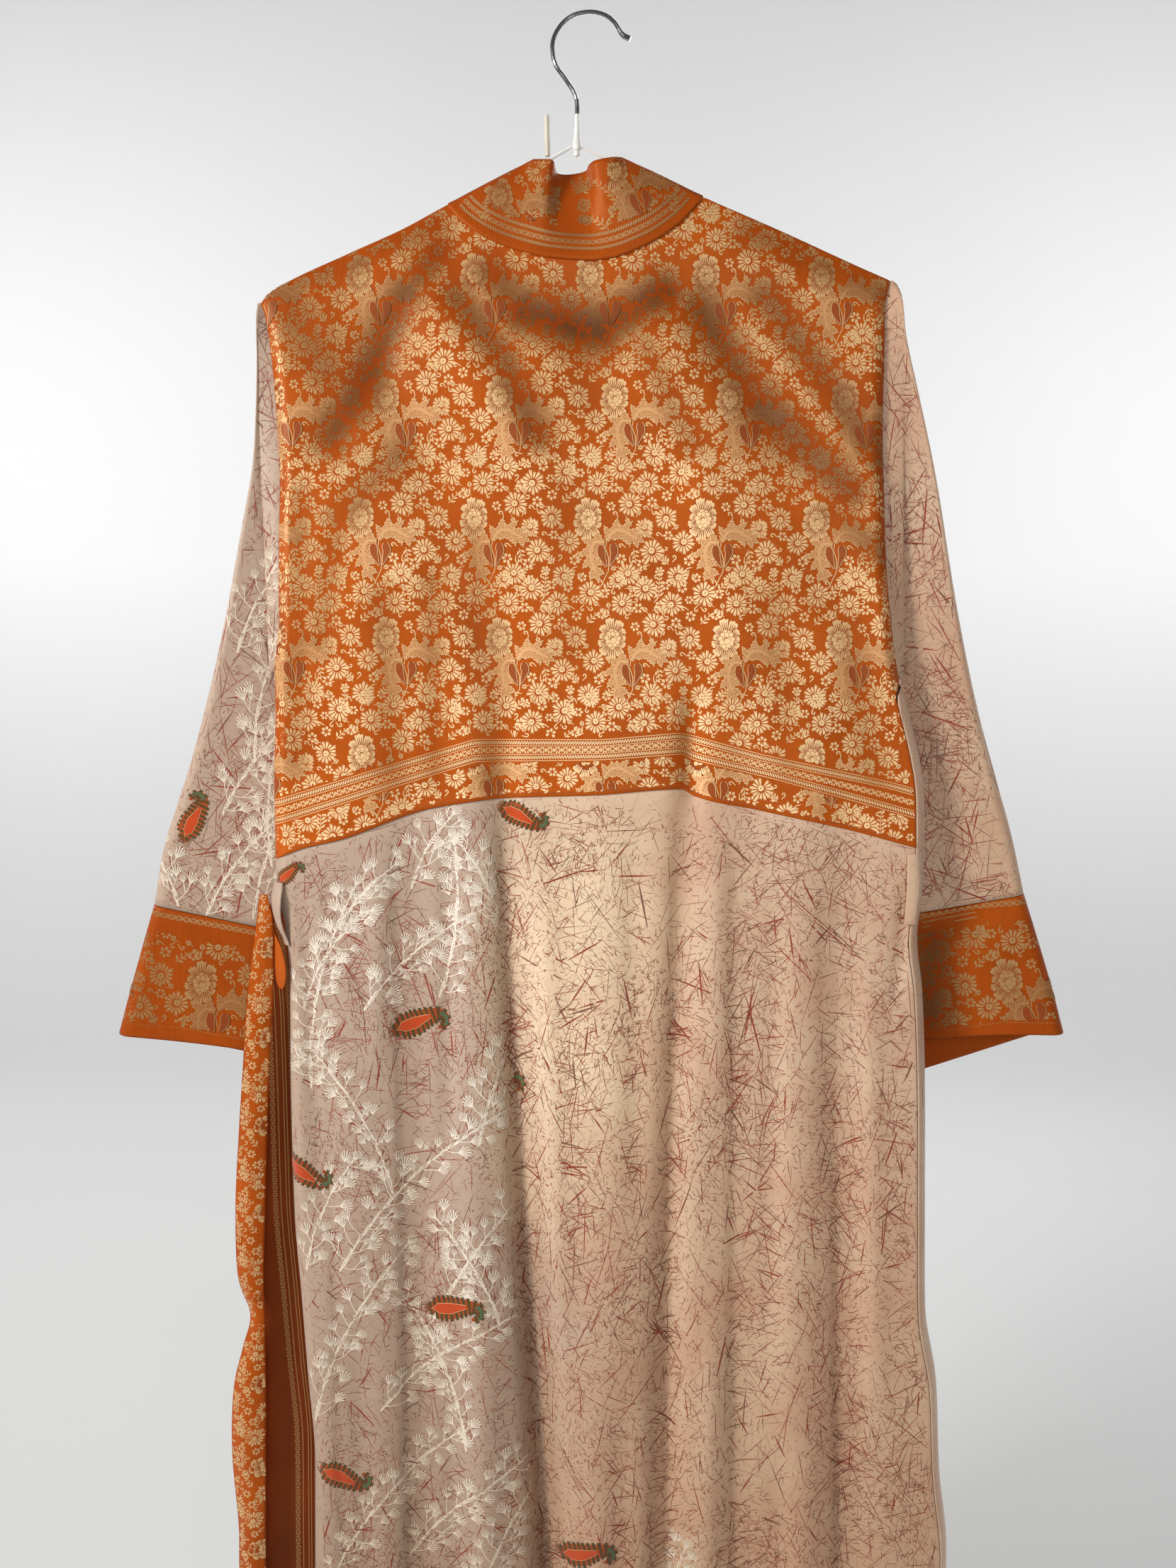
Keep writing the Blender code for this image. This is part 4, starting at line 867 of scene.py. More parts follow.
def weave_group():
    """Fine crossing threads with uneven thickness."""
    tree, takes, gives = new_group(
        "Weave", [("Place", "Vector", None), ("Threads per metre", "Float", 1500.0),
                  ("Slub", "Float", 0.3)],
        [("Height", "Float"), ("Uneven", "Float")])
    parts = add(tree, "SeparateXYZ", {0: takes["Place"]})
    threads = takes["Threads per metre"]
    warp = sum_of(tree, "SINE", sum_of(tree, "MULTIPLY", parts.outputs[0], threads))
    weft = sum_of(tree, "SINE", sum_of(tree, "MULTIPLY", parts.outputs[1], threads))
    crossed = sum_of(tree, "MULTIPLY", sum_of(tree, "MAXIMUM", warp, weft), 0.25)
    long_way = add(tree, "Mapping", {0: takes["Place"], 3: (220.0, 9.0, 1.0)})
    slubs = add(tree, "TexNoise", {"Vector": long_way.outputs[0], "Scale": 3.0, "Detail": 2.0})
    thick = sum_of(tree, "MULTIPLY", slubs.outputs[0], takes["Slub"])
    tree.links.new(sum_of(tree, "ADD", crossed, thick), gives["Height"])
    tree.links.new(slubs.outputs[0], gives["Uneven"])
    return tree


def patches_group():
    """Large soft uneven patches, from 0 to 1."""
    tree, takes, gives = new_group(
        "Patches", [("Place", "Vector", None), ("Scale", "Float", 8.0), ("Contrast", "Float", 0.2)],
        [("Amount", "Float")])
    cloud = add(tree, "TexNoise", {"Vector": takes["Place"], "Scale": takes["Scale"],
                                   "Detail": 3.0, "Roughness": 0.55})
    low = sum_of(tree, "SUBTRACT", 0.5, takes["Contrast"])
    high = sum_of(tree, "ADD", 0.5, takes["Contrast"])
    tree.links.new(between_values(tree, cloud.outputs[0], low, high), gives["Amount"])
    return tree


weave = weave_group()
patches = patches_group()


def woven_at(tree, place, threads, slub):
    inputs = {"Place": place, "Threads per metre": threads, "Slub": slub}
    return add(tree, "Group", inputs, node_tree=weave).outputs


def patches_at(tree, place, scale, contrast):
    inputs = {"Place": place, "Scale": scale, "Contrast": contrast}
    return add(tree, "Group", inputs, node_tree=patches).outputs["Amount"]


def on_object(tree):
    return add(tree, "TexCoord").outputs["Object"]


def on_cloth(tree):
    return add(tree, "UVMap", uv_map="cloth").outputs[0]


def finish_named(name, roughness, **constants):
    made = bpy.data.materials.new(name)
    made.use_nodes = True
    shader = made.node_tree.nodes["Principled BSDF"]
    shader.inputs["Roughness"].default_value = roughness
    for key, value in constants.items():
        shader.inputs[key.replace("_", " ")].default_value = value
    return made, made.node_tree, shader.inputs


def shaded(tree, colour, power=1.0):
    """A colour under the piece's painted light and shade, read from its shade attribute; its
    painted shade turns warmer.
    """
    amount = add(tree, "Attribute", attribute_name="shade").outputs["Fac"]
    parts = [sum_of(tree, "POWER", amount, power * share) for share in (0.76, 1.0, 1.3)]
    tint = add(tree, "CombineXYZ", dict(enumerate(parts))).outputs[0]
    return blend(tree, 1.0, colour, tint, "MULTIPLY")


def bump_into(tree, shader, height, distance, strength=1.0):
    bump = add(tree, "Bump", {"Height": height, "Distance": distance, "Strength": strength})
    tree.links.new(bump.outputs[0], shader["Normal"])


def two_toned(tree, shader, shade, light, dark, painted_shade_pull=1.0):
    """Base colour between a dark and a light tone, under the piece's painted light and shade."""
    colour = blend(tree, shade, tone(dark), tone(light))
    tree.links.new(shaded(tree, colour, painted_shade_pull), shader["Base Color"])


def satin_finish(name, light, dark, roughness=0.42):
    """Brocade ground: smooth satin that turns lighter along its slubs."""
    made, tree, shader = finish_named(name, roughness, Specular_IOR_Level=0.3,
                                      Specular_Tint=(1.0, 0.55, 0.25, 1.0))
    place = on_cloth(tree)
    woven = woven_at(tree, place, 9000.0, 0.6)
    cloud = patches_at(tree, place, 14.0, 0.22)
    shade = sum_of(tree, "ADD", sum_of(tree, "MULTIPLY", cloud, 0.55),
                   sum_of(tree, "MULTIPLY", woven["Uneven"], 0.45))
    # The satin ground takes the painted shade more weakly than the gold threads
    two_toned(tree, shader, shade, light, dark, 0.6)
    rough = between_values(tree, woven["Uneven"], 0.3, 0.7, roughness - 0.06, roughness + 0.08)
    tree.links.new(rough, shader["Roughness"])
    bump_into(tree, shader, woven["Height"], 0.00006, 0.7)
    return made


def thread_finish(name, light, dark, roughness, metallic, sheen, fine, painted_shade_pull=1.0):
    """Woven or sewn thread: two tones that change from stitch to stitch."""
    made, tree, shader = finish_named(name, roughness, Sheen_Weight=sheen, Metallic=metallic,
                                      Specular_Tint=(1.0, 0.72, 0.45, 1.0))
    place = on_object(tree)
    stitches = add(tree, "TexNoise", {"Vector": place, "Scale": fine, "Detail": 2.0}).outputs[0]
    cloud = patches_at(tree, place, 11.0, 0.25)
    shade = sum_of(tree, "ADD", sum_of(tree, "MULTIPLY", stitches, 0.5),
                   sum_of(tree, "MULTIPLY", cloud, 0.5))
    two_toned(tree, shader, shade, light, dark, painted_shade_pull)
    bump_into(tree, shader, stitches, 0.0001, 0.6)
    return made


def silk_finish(name):
    """Dyed silk: grey-mauve to one side, tan to the other, a pale cream middle that is partly a
    painted pool of light, and stains.
    """
    made, tree, shader = finish_named(name, 0.5, Sheen_Weight=0.3, Sheen_Roughness=0.4,
                                      Specular_IOR_Level=0.5)
    place = on_object(tree)
    parts = add(tree, "SeparateXYZ", {0: place})
    x, z = parts.outputs[0], parts.outputs[2]
    cloud = add(tree, "TexNoise", {"Vector": place, "Scale": 5.0, "Detail": 3.0})
    wander = sum_of(tree, "MULTIPLY_ADD", cloud.outputs[0], 0.10, -0.05)
    strayed = sum_of(tree, "ADD", x, wander)
    side = between_values(tree, strayed, -0.055, 0.035)
    ground = blend(tree, side, tone("B59B87"), tone("D3B193"))
    # A pale cream middle, partly the cloth's own tone and partly a painted pool of light
    across = sum_of(tree, "MULTIPLY", sum_of(tree, "SUBTRACT", strayed, -0.002), 14.0)
    down = sum_of(tree, "MULTIPLY", sum_of(tree, "ADD", z, 0.67), 5.2)
    far = sum_of(tree, "SQRT", sum_of(tree, "ADD", sum_of(tree, "MULTIPLY", across, across),
                                      sum_of(tree, "MULTIPLY", down, down)))
    cream_and_painted_light = between_values(tree, far, 0.35, 1.25, 0.85, 0.0)
    ground = blend(tree, cream_and_painted_light, ground, tone("F2D5AF"))
    stains = patches_at(tree, place, 16.0, 0.12)
    stained = sum_of(tree, "MULTIPLY", sum_of(tree, "MULTIPLY", stains, side), 0.32)
    ground = blend(tree, stained, ground, tone("B87452"))
    cells = {"Vector": place, "Scale": 70.0}
    faint = add(tree, "TexVoronoi", cells, feature="DISTANCE_TO_EDGE").outputs[0]
    ground = blend(tree, between_values(tree, faint, 0.0, 0.035, 0.35, 0.0), ground, tone("A06A48"))
    woven = woven_at(tree, on_cloth(tree), 8000.0, 0.8)
    uneven = sum_of(tree, "MULTIPLY", woven["Uneven"], 0.16)
    ground = blend(tree, uneven, ground, tone("D8C0A8"))
    tree.links.new(shaded(tree, ground), shader["Base Color"])
    bump_into(tree, shader, woven["Height"], 0.00008, 0.8)
    return made


def dye_finish(name, light, dark):
    """A printed line that has partly worn off."""
    made, tree, shader = finish_named(name, 0.62)
    worn = patches_at(tree, on_object(tree), 120.0, 0.3)
    two_toned(tree, shader, worn, light, dark)
    return made


orange_satin = satin_finish("orange satin ground", "C65C14", "9C420C")
# The same orange satin in darker tones, as painted shade, for the belt's inner end
painted_shade_satin = satin_finish("orange satin ground in painted shade", "93421A", "6C2C10", 0.48)
plain_satin = satin_finish("plain orange satin", "C86020", "A64A16", 0.38)
printed_silk = silk_finish("printed silk")
# Threads: light and dark tone, roughness, metal, sheen, fineness, pull of the painted shade, which
# darkens the gold threads most as a painted loss of sheen
BROCADE = [
    thread_finish("cream gold thread", "FBDAA8", "E6B880", 0.38, 0.05, 0.0, 900.0, 2.1),
    thread_finish("tan gold thread", "E8B27E", "C8905A", 0.42, 0.05, 0.0, 900.0, 1.8),
    thread_finish("pale outline thread", "F6CE9C", "D8A66E", 0.42, 0.08, 0.0, 900.0, 1.9),
    thread_finish("dark ground thread", "A84C16", "86380E", 0.5, 0.0, 0.0, 900.0, 0.6)]
EMBROIDERY = [
    thread_finish("cream white embroidery", "F8EDDD", "E0D0BC", 0.55, 0.0, 0.1, 1500.0),
    thread_finish("grey rose embroidery", "CFBDA9", "B39C88", 0.55, 0.0, 0.1, 1500.0)]
PAISLEY = [
    thread_finish("bright orange embroidery", "D24A16", "B23A10", 0.45, 0.0, 0.3, 1400.0),
    thread_finish("rust brown embroidery", "B04A14", "8E380E", 0.55, 0.0, 0.3, 1400.0),
    thread_finish("olive brown embroidery", "54461E", "3A2E12", 0.55, 0.0, 0.3, 1400.0),
    thread_finish("grey green embroidery", "56704E", "42583C", 0.55, 0.0, 0.3, 1400.0),
    BROCADE[PALE]]
PRINT = [dye_finish("rust print", "A03E26", "7C2C18"),
         dye_finish("brown print", "84543C", "663E2A")]


# Figures that lie on cloth. A figure is a list of (points, faces, thread, lift), in millimetres.

def headings(line, least=0.0):
    """Unit steps along a line of points, and to its left."""
    run = np.gradient(line, axis=0)
    run /= np.linalg.norm(run, axis=1)[:, None] + least
    return run, np.stack([-run[:, 1], run[:, 0]], -1)


def smoothed(line, rounds):
    for _ in range(rounds):
        line[1:-1] = (line[:-2] + 2 * line[1:-1] + line[2:]) / 4
    return line


def through(spine, shares):
    """Points at given shares of the way along a line of evenly counted points."""
    spine = np.array(spine, float)
    steps = np.linspace(0, 1, len(spine))
    return np.stack([np.interp(shares, steps, spine[:, k]) for k in (0, 1)], -1)


def strip(line, widths, thread, lift=0.0):
    """A ribbon along a line. A width is a number, or a pair for its left and right side."""
    line = np.array(line, float)
    _, side = headings(line, 1e-9)
    if np.ndim(widths) < 2:
        widths = [(w, w) for w in np.broadcast_to(widths, len(line))]
    widths = np.array(widths, float)
    across = widths.sum(axis=1)[:, None]
    columns = max(1, math.ceil(float(across.max()) / WIDEST_RIBBON))
    points = np.concatenate([line + side * (widths[:, :1] - across * k / columns)
                             for k in range(columns + 1)])
    n = len(line)
    faces = [(k * n + i, k * n + n + i, k * n + n + i + 1, k * n + i + 1)
             for k in range(columns) for i in range(n - 1)]
    return points, faces, thread, lift


def blob(outline, thread, lift=0.0, centre=(0.0, 0.0)):
    """A filled shape, as a fan about its centre."""
    outline = np.array(outline, float)
    n = len(outline)
    points = np.concatenate([outline, [centre]])
    return points, [(i, (i + 1) % n, n) for i in range(n)], thread, lift


def ray(radius, degrees):
    angle = math.radians(degrees)
    return (radius * math.cos(angle), radius * math.sin(angle))


def daisy(radius, petals, eye, lean):
    """Flower of split petals around an eye that sits off its centre."""
    parts = []
    centre = (lean, lean * 0.4)
    for i in range(petals):
        turn = 360 / petals * i
        reach = radius * (1 + 0.10 * math.sin(i * 2.4))
        half = 150 / petals
        points = [ray(eye * 1.25, turn - half * 0.5), ray(reach * 0.72, turn - half * 0.88),
                  ray(reach * 0.98, turn - half * 0.75), ray(reach * 0.86, turn - half * 0.15),
                  ray(reach * 1.04, turn + half * 0.35), ray(reach * 0.75, turn + half * 0.88),
                  ray(eye * 1.25, turn + half * 0.5)]
        shift = np.array(centre) * (1 - 0.75)
        parts.append((np.array(points) + shift, [(0, 1, 2, 3), (0, 3, 4, 6), (4, 5, 6)], GOLD, 0.0))
    parts.append(blob([np.add(ray(eye, 45 * i), centre) for i in range(8)], GOLD, 0.0, centre))
    for i in range(7):
        spot = np.add(ray(eye * 1.12, 51 * i + 10), centre)
        parts.append(blob([np.add(ray(0.42, 90 * k), spot) for k in range(4)], DARK, 0.03, spot))
    parts.append(blob([np.add(ray(0.7, 120 * k), centre) for k in range(3)], DARK, 0.03, centre))
    return parts


def floret(radius, petals):
    parts = []
    for i in range(petals):
        turn = 360 / petals * i
        petal = [ray(radius * 0.25, turn), ray(radius * 0.75, turn - 24), ray(radius, turn - 9),
                 ray(radius, turn + 9), ray(radius * 0.75, turn + 24)]
        parts.append((np.array(petal), [(0, 1, 2, 3, 4)], GOLD, 0.0))
    return parts


def fern(length, pairs, bend):
    """Sprig with curved leaflets on both sides of its stem."""
    spine = [(bend * (t ** 2) * length, t * length) for t in np.linspace(0, 1, 8)]
    parts = [strip(spine, 0.28, PALE, 0.01)]
    for i in range(pairs):
        t = (i + 0.5) / pairs
        x, y = bend * t * t * length, t * length
        size = 3.9 * (1 - 0.55 * t)
        for side in (-1, 1):
            leaflet = [(x, y), (x + side * size * 0.55, y + size * 0.10),
                       (x + side * size, y + size * 0.75),
                       (x + side * size * 0.45, y + size * 0.62)]
            parts.append((np.array(leaflet), [(0, 1, 2, 3)], GOLD, 0.0))
    x, y = bend * length, length
    point = [(x - 0.7, y - 0.5), (x + 0.7, y - 0.5), (x, y + 2.0)]
    parts.append((np.array(point), [(0, 1, 2)], GOLD, 0.0))
    return parts


def curl(size):
    line = []
    for t in np.linspace(0, 1, 9):
        radius = size * (1 - 0.8 * t)
        line.append((radius * math.cos(5.2 * t), radius * math.sin(5.2 * t)))
    stem = [(size + 0.8, -size * 1.6), (size + 0.3, -size * 0.8)] + line
    return [strip(stem, [0.3] * 2 + [0.42] * 9, GOLD)]


def small_leaf(size):
    outline = [(0, 0), (size * 0.45, size * 0.3), (size * 0.42, size * 0.75), (0, size * 1.15),
               (-size * 0.42, size * 0.75), (-size * 0.45, size * 0.3)]
    return [blob(outline, PALE, 0.0, (0, size * 0.5)),
            strip([(0.1, size * 0.2), (0, size * 0.9)], 0.22, DARK, 0.03),
            strip([(0, -size * 0.5), (0, 0.1)], 0.25, PALE)]


def peony():
    """Large open flower: ruffled lobes with dark veins about a heart of small petals."""
    parts = []
    for turn, reach in PEONY_LOBES:
        ruffle = [(0.62, -17.5), (0.88, -17), (0.97, -11), (0.93, -6), (1.02, -1), (0.95, 5),
                  (0.98, 10), (0.88, 16), (0.62, 17)]
        edge = [ray(2.0, turn - 17)] + [ray(reach * share, turn + a) for share, a in ruffle]
        parts.append(blob(edge + [ray(2.0, turn + 17)], GOLD, 0.0, ray(reach * 0.6, turn)))
        gap = [ray(away, turn + 16.5) for away in (5.2, reach * 0.72, reach * 0.97)]
        parts.append(strip(gap, [0.16, 0.24, 0.60], DARK, 0.03))
        for vein in (-8, 0, 8):
            line = [ray(reach * 0.46, turn + vein * 1.2), ray(reach * 0.66, turn + vein * 0.9),
                    ray(reach * 0.84, turn + vein)]
            parts.append(strip(line, [0.38, 0.28, 0.10], DARK, 0.03))
    for turn in range(0, 360, 40):
        middle = ray(4.5 + 0.5 * math.sin(turn), turn + 8)
        for radius, thread, lift in ((1.9, DARK, 0.04), (1.62, GOLD, 0.06)):
            petal = [np.add(ray(radius, 45 * k), middle) for k in range(8)]
            parts.append(blob(petal, thread, lift, middle))
    parts.append(blob([ray(2.9, 45 * k) for k in range(8)], GOLD, 0.05))
    parts.append(strip([ray(1.7, turn) for turn in range(20, 231, 30)],
                       [0.1, 0.25, 0.4, 0.45, 0.45, 0.4, 0.25, 0.1], DARK, 0.08))
    return parts


def finger(base, heading, length, half):
    """One toothed point of an acanthus leaf: a pale outline, a tan middle and dark hatching."""
    heading = np.array(heading) / np.linalg.norm(heading)
    across = np.array((-heading[1], heading[0]))
    base = np.array(base)
    parts = []
    for inset, thread, lift in ((0.0, PALE, 0.10), (0.55, TAN, 0.13)):
        outline = [base + heading * a * (length - inset * 1.6) + across * b * (half - inset)
                   for a, b in TOOTHED]
        parts.append(blob(outline, thread, lift, base + heading * length * 0.4))
    for share in (0.22, 0.40, 0.58):
        for side in (-1, 1):
            spot = base + heading * length * share + across * side * half * 0.42 * (1.1 - share)
            reach = across * half * 0.26
            parts.append(strip([spot - reach, spot + reach], 0.14, DARK, 0.16))
    return parts


def great_leaf(spine, reach, fingers=5):
    """Acanthus leaf with toothed points along both sides."""
    ts = np.linspace(0, 1, 6 * fingers + 1)
    line = smoothed(through(spine, ts), 6)
    run, side = headings(line)
    span = np.linalg.norm(np.diff(line, axis=0), axis=1).sum() / (fingers + 0.6)
    parts = []
    for i in range(fingers):
        at = min(int((i + 0.75) / (fingers + 0.6) * len(ts)), len(ts) - 2)
        size = reach * (0.72 + 0.42 * math.sin(math.pi * (i + 0.9) / (fingers + 0.5)))
        for way in (1, -1):
            heading = side[at] * way + run[at] * (0.45 + 0.12 * i)
            parts += finger(line[at] + side[at] * way * 0.3, heading, size, span * 0.42)
    parts += finger(line[-4], run[-3], reach * 0.80, span * 0.36)
    body = reach * 0.42 * np.sin(math.pi * (0.12 + 0.80 * ts)) ** 0.8
    parts.append(strip(line, body, TAN, 0.14))
    for i in range(2, len(ts) - 4, 3):
        for way in (1, -1):
            spot = line[i] + side[i] * way * body[i] * 0.55
            parts.append(strip([spot - run[i] * 0.6, spot + run[i] * 0.6], 0.15, DARK, 0.17))
    parts.append(strip(line, np.linspace(0.34, 0.12, len(line)), PALE, 0.18))
    return parts


def teardrop(spine, reach):
    ts = np.linspace(0, 1, 13)
    line = through(spine, ts)
    swell = np.sin(math.pi * np.clip(ts * 0.96 + 0.06, 0.03, 0.97)) ** 0.7
    half = reach * swell * (1.1 - 0.75 * ts)
    return [strip(line, half + 0.5, PALE, 0.19), strip(line, np.maximum(half, 0.05), DARK, 0.24)]


def moved(figure, x=0.0, y=0.0, turn=0.0, size=1.0, mirrored=False):
    c, s = math.cos(math.radians(turn)), math.sin(math.radians(turn))
    flip = -1 if mirrored else 1
    made = []
    for points, faces, thread, lift in figure:
        p = np.asarray(points, float) * size
        px, py = p[:, 0] * flip, p[:, 1]
        placed = np.stack([px * c - py * s + x, px * s + py * c + y], -1)
        made.append((placed, faces, thread, lift))
    return made


def joined(figures):
    """One figure from several, ready to be copied quickly."""
    points, faces, threads, lifts, count = [], [], [], [], 0
    for part_points, part_faces, thread, lift in figures:
        points.append(part_points)
        lifts.append(np.full(len(part_points), lift))
        faces += [tuple(i + count for i in face) for face in part_faces]
        threads += [thread] * len(part_faces)
        count += len(part_points)
    return np.concatenate(points), faces, threads, np.concatenate(lifts)


def lay(name, surface, figures, finishes, facing=BACK_WAY, keep=None):
    """Lay joined figures, in metres of x and z, or of y and z from a side, and leave out misses."""
    points, faces, threads, lifts = figures
    tree, low, high, shade = surface
    direction = Vector(facing)
    sideways = not facing[1]
    across = 1 if sideways else 0
    steepest = SIDE_TURN if sideways else FLAT_TURN
    placed = np.zeros((len(points), 3))
    found = np.zeros(len(points), bool)
    stands = SHOWN_CLOTH / 2 + RELIEF
    x, z = points.T
    wanted = (x > low[across]) & (x < high[across]) & (z > low[2]) & (z < high[2])
    if keep is not None:
        wanted &= keep(x, z)
    for i in np.nonzero(wanted)[0]:
        x, z = points[i]
        start = Vector((0.0, x, z)) if sideways else Vector((x, 0.0, z))
        hit, normal, _, _ = tree.ray_cast(start - direction * REACH, direction, REACH + 0.05)
        if hit is None:
            continue
        if normal.dot(direction) > 0:
            normal = -normal
        if normal.dot(direction) > steepest:
            continue
        placed[i] = hit + normal * (stands + lifts[i] * LIFT)
        found[i] = True
    kept = [i for i, face in enumerate(faces) if all(found[j] for j in face)]
    used = np.unique(np.concatenate([np.array(faces[i]) for i in kept]))
    index = np.zeros(len(points), int)
    index[used] = np.arange(len(used))
    made = piece_from(name, placed[used], [tuple(index[list(faces[i])]) for i in kept], finishes,
                      [threads[i] for i in kept], smooth=False, shade=shade)
    return turned_out(made, direction)


def turned_out(made, direction):
    """Turn every face towards the side that it is seen from."""
    mesh = made.data
    flip = [p.index for p in mesh.polygons if p.normal.dot(direction) > 0]
    shape = bmesh.new()
    shape.from_mesh(mesh)
    shape.faces.ensure_lookup_table()
    bmesh.ops.reverse_faces(shape, faces=[shape.faces[i] for i in flip])
    shape.to_mesh(mesh)
    shape.free()
    return made


def brocade_repeat():
    parts = moved(peony(), size=0.98)
    daisy_figure, floret_figure = daisy(8.4, 15, 2.3, 0.9), floret(3.7, 6)
    for x, y, turn, size in DAISIES:
        parts += moved(daisy_figure, x, y, turn, size)
    for x, y, turn, size in FLORETS:
        parts += moved(floret_figure, x, y, turn, size)
    for x, y, turn, length, bend in FERNS:
        parts += moved(fern(length, max(3, round(length / 2.9)), bend), x, y, turn)
    for x, y, turn in CURLS:
        parts += moved(curl(1.7), x, y, turn)
    for x, y, turn in LEAVES:
        parts += moved(small_leaf(3.6), x, y, turn)
    for spine in GREAT_LEAVES:
        parts += great_leaf(spine, 9.0)
    for spine in TEARDROPS:
        parts += teardrop(spine, 3.2)
    for line in STEMS:
        parts.append(strip(line, 0.32, PALE, 0.01))
    return parts


def repeated(figure, columns, rows, first, turn=0.0, size=1.0):
    """Copies of a joined figure over a field, in metres. first is the middle of one copy."""
    points, faces, threads, lifts = figure
    c, s = math.cos(math.radians(turn)), math.sin(math.radians(turn))
    made, made_faces, made_threads, made_lifts, count = [], [], [], [], 0
    for row in range(rows[0], rows[1]):
        for column in range(columns[0], columns[1]):
            x = (column * REPEAT_WIDTH + (row % 2) * ROW_SHIFT) * size
            y = row * REPEAT_HEIGHT * size
            p = points * size + (x, y)
            p = np.stack([p[:, 0] * c - p[:, 1] * s, p[:, 0] * s + p[:, 1] * c], -1) * 0.001 + first
            made.append(p)
            made_faces += [tuple(i + count for i in face) for face in faces]
            made_threads += threads
            made_lifts.append(lifts)
            count += len(p)
    return np.concatenate(made), made_faces, made_threads, np.concatenate(made_lifts)


def in_metres(figures):
    points, faces, threads, lifts = joined(figures)
    return points * 0.001, faces, threads, lifts


def evenly(line, spacing):
    """Points at equal spacing along a line, in millimetres."""
    line = np.array(line, float)
    lengths = np.concatenate([[0], np.cumsum(np.linalg.norm(np.diff(line, axis=0), axis=1))])
    at = np.arange(0, lengths[-1], spacing)
    return np.stack([np.interp(at, lengths, line[:, 0]), np.interp(at, lengths, line[:, 1])], -1)


def striped_cord(line, half=1.25, slant=1.0, edges=()):
    """A woven rope: slanting pale ticks on a dark ribbon. Edges are thin lines beside it."""
    places = evenly(line, 1.9)
    parts = [strip(places, half, DARK, 0.0)]
    run, side = headings(places)
    for p, r, s in zip(places, run, side):
        ends = [p - s * half * 0.9 - r * slant * 0.9, p + s * half * 0.9 + r * slant * 0.9]
        parts.append(strip(ends, 0.5, GOLD, 0.03))
    for away in edges:
        parts.append(strip(places + side * away, 0.28, PALE, 0.0))
    return parts


def flower_chain(line, spacing=7.2, size=0.62):
    """Small flowers in a row, with a pair of leaves between them."""
    parts = []
    places = evenly(line, spacing)
    run = np.gradient(places, axis=0)
    flower = floret(3.7, 6)
    leaf = small_leaf(2.2)
    for p, r in zip(places, run):
        turn = math.degrees(math.atan2(r[1], r[0]))
        parts += moved(flower, p[0], p[1], turn, size)
        between = p + r * 0.5
        parts += moved(leaf[:1], between[0], between[1], turn, 0.7)
        parts += moved(leaf[:1], between[0], between[1], turn + 180, 0.7)
    return parts


def border(upper, lower, half=1.25):
    """Two striped cords with a chain of flowers between them."""
    upper, lower = evenly(np.array(upper) * 1000, 4.0), evenly(np.array(lower) * 1000, 4.0)
    n = min(len(upper), len(lower))
    middle = (upper[:n] + lower[:n]) / 2
    return (striped_cord(upper, half, 1.0, (2.3, -2.2))
            + striped_cord(lower, half, -1.0, (2.2, -2.4)) + flower_chain(middle, 5.6, 0.66))


def stitches(line, spacing=2.6, half=0.16, thread=GOLD):
    """A row of sewing stitches along a line in millimetres."""
    places = evenly(line, spacing)
    run, _ = headings(places)
    return [strip([p - r * spacing * 0.34, p + r * spacing * 0.34], half, thread, 0.02)
            for p, r in zip(places, run)]


def tuft(size):
    """Thistle head: a fan of thick stitches."""
    parts = []
    for turn, reach in ((-40, 0.72), (-25, 0.90), (-10, 1.0), (5, 1.05), (19, 0.94), (34, 0.78)):
        lean = math.radians(turn)
        tip = np.array((size * reach * math.sin(lean), size * reach * math.cos(lean)))
        parts.append(strip([tip * (0.04, 0.0), tip * 0.55, tip * 0.9, tip],
                           [0.24, 0.34, 0.42, 0.16], WHITE, 0.03 + 0.01 * (len(parts) % 3)))
    return parts


def stalk_from(start, turn, reach, bow):
    """A stalk from a point, leaning by a turn from upright and bending on the way."""
    line = [np.array(start, float)]
    for k in range(4):
        here = math.radians(turn - bow * (1 - k / 3))
        line.append(line[-1] + np.array((-math.sin(here), math.cos(here))) * reach / 4)
    return line


def white_or_grey(chance):
    return WHITE if chance.random() < 0.8 else GREY


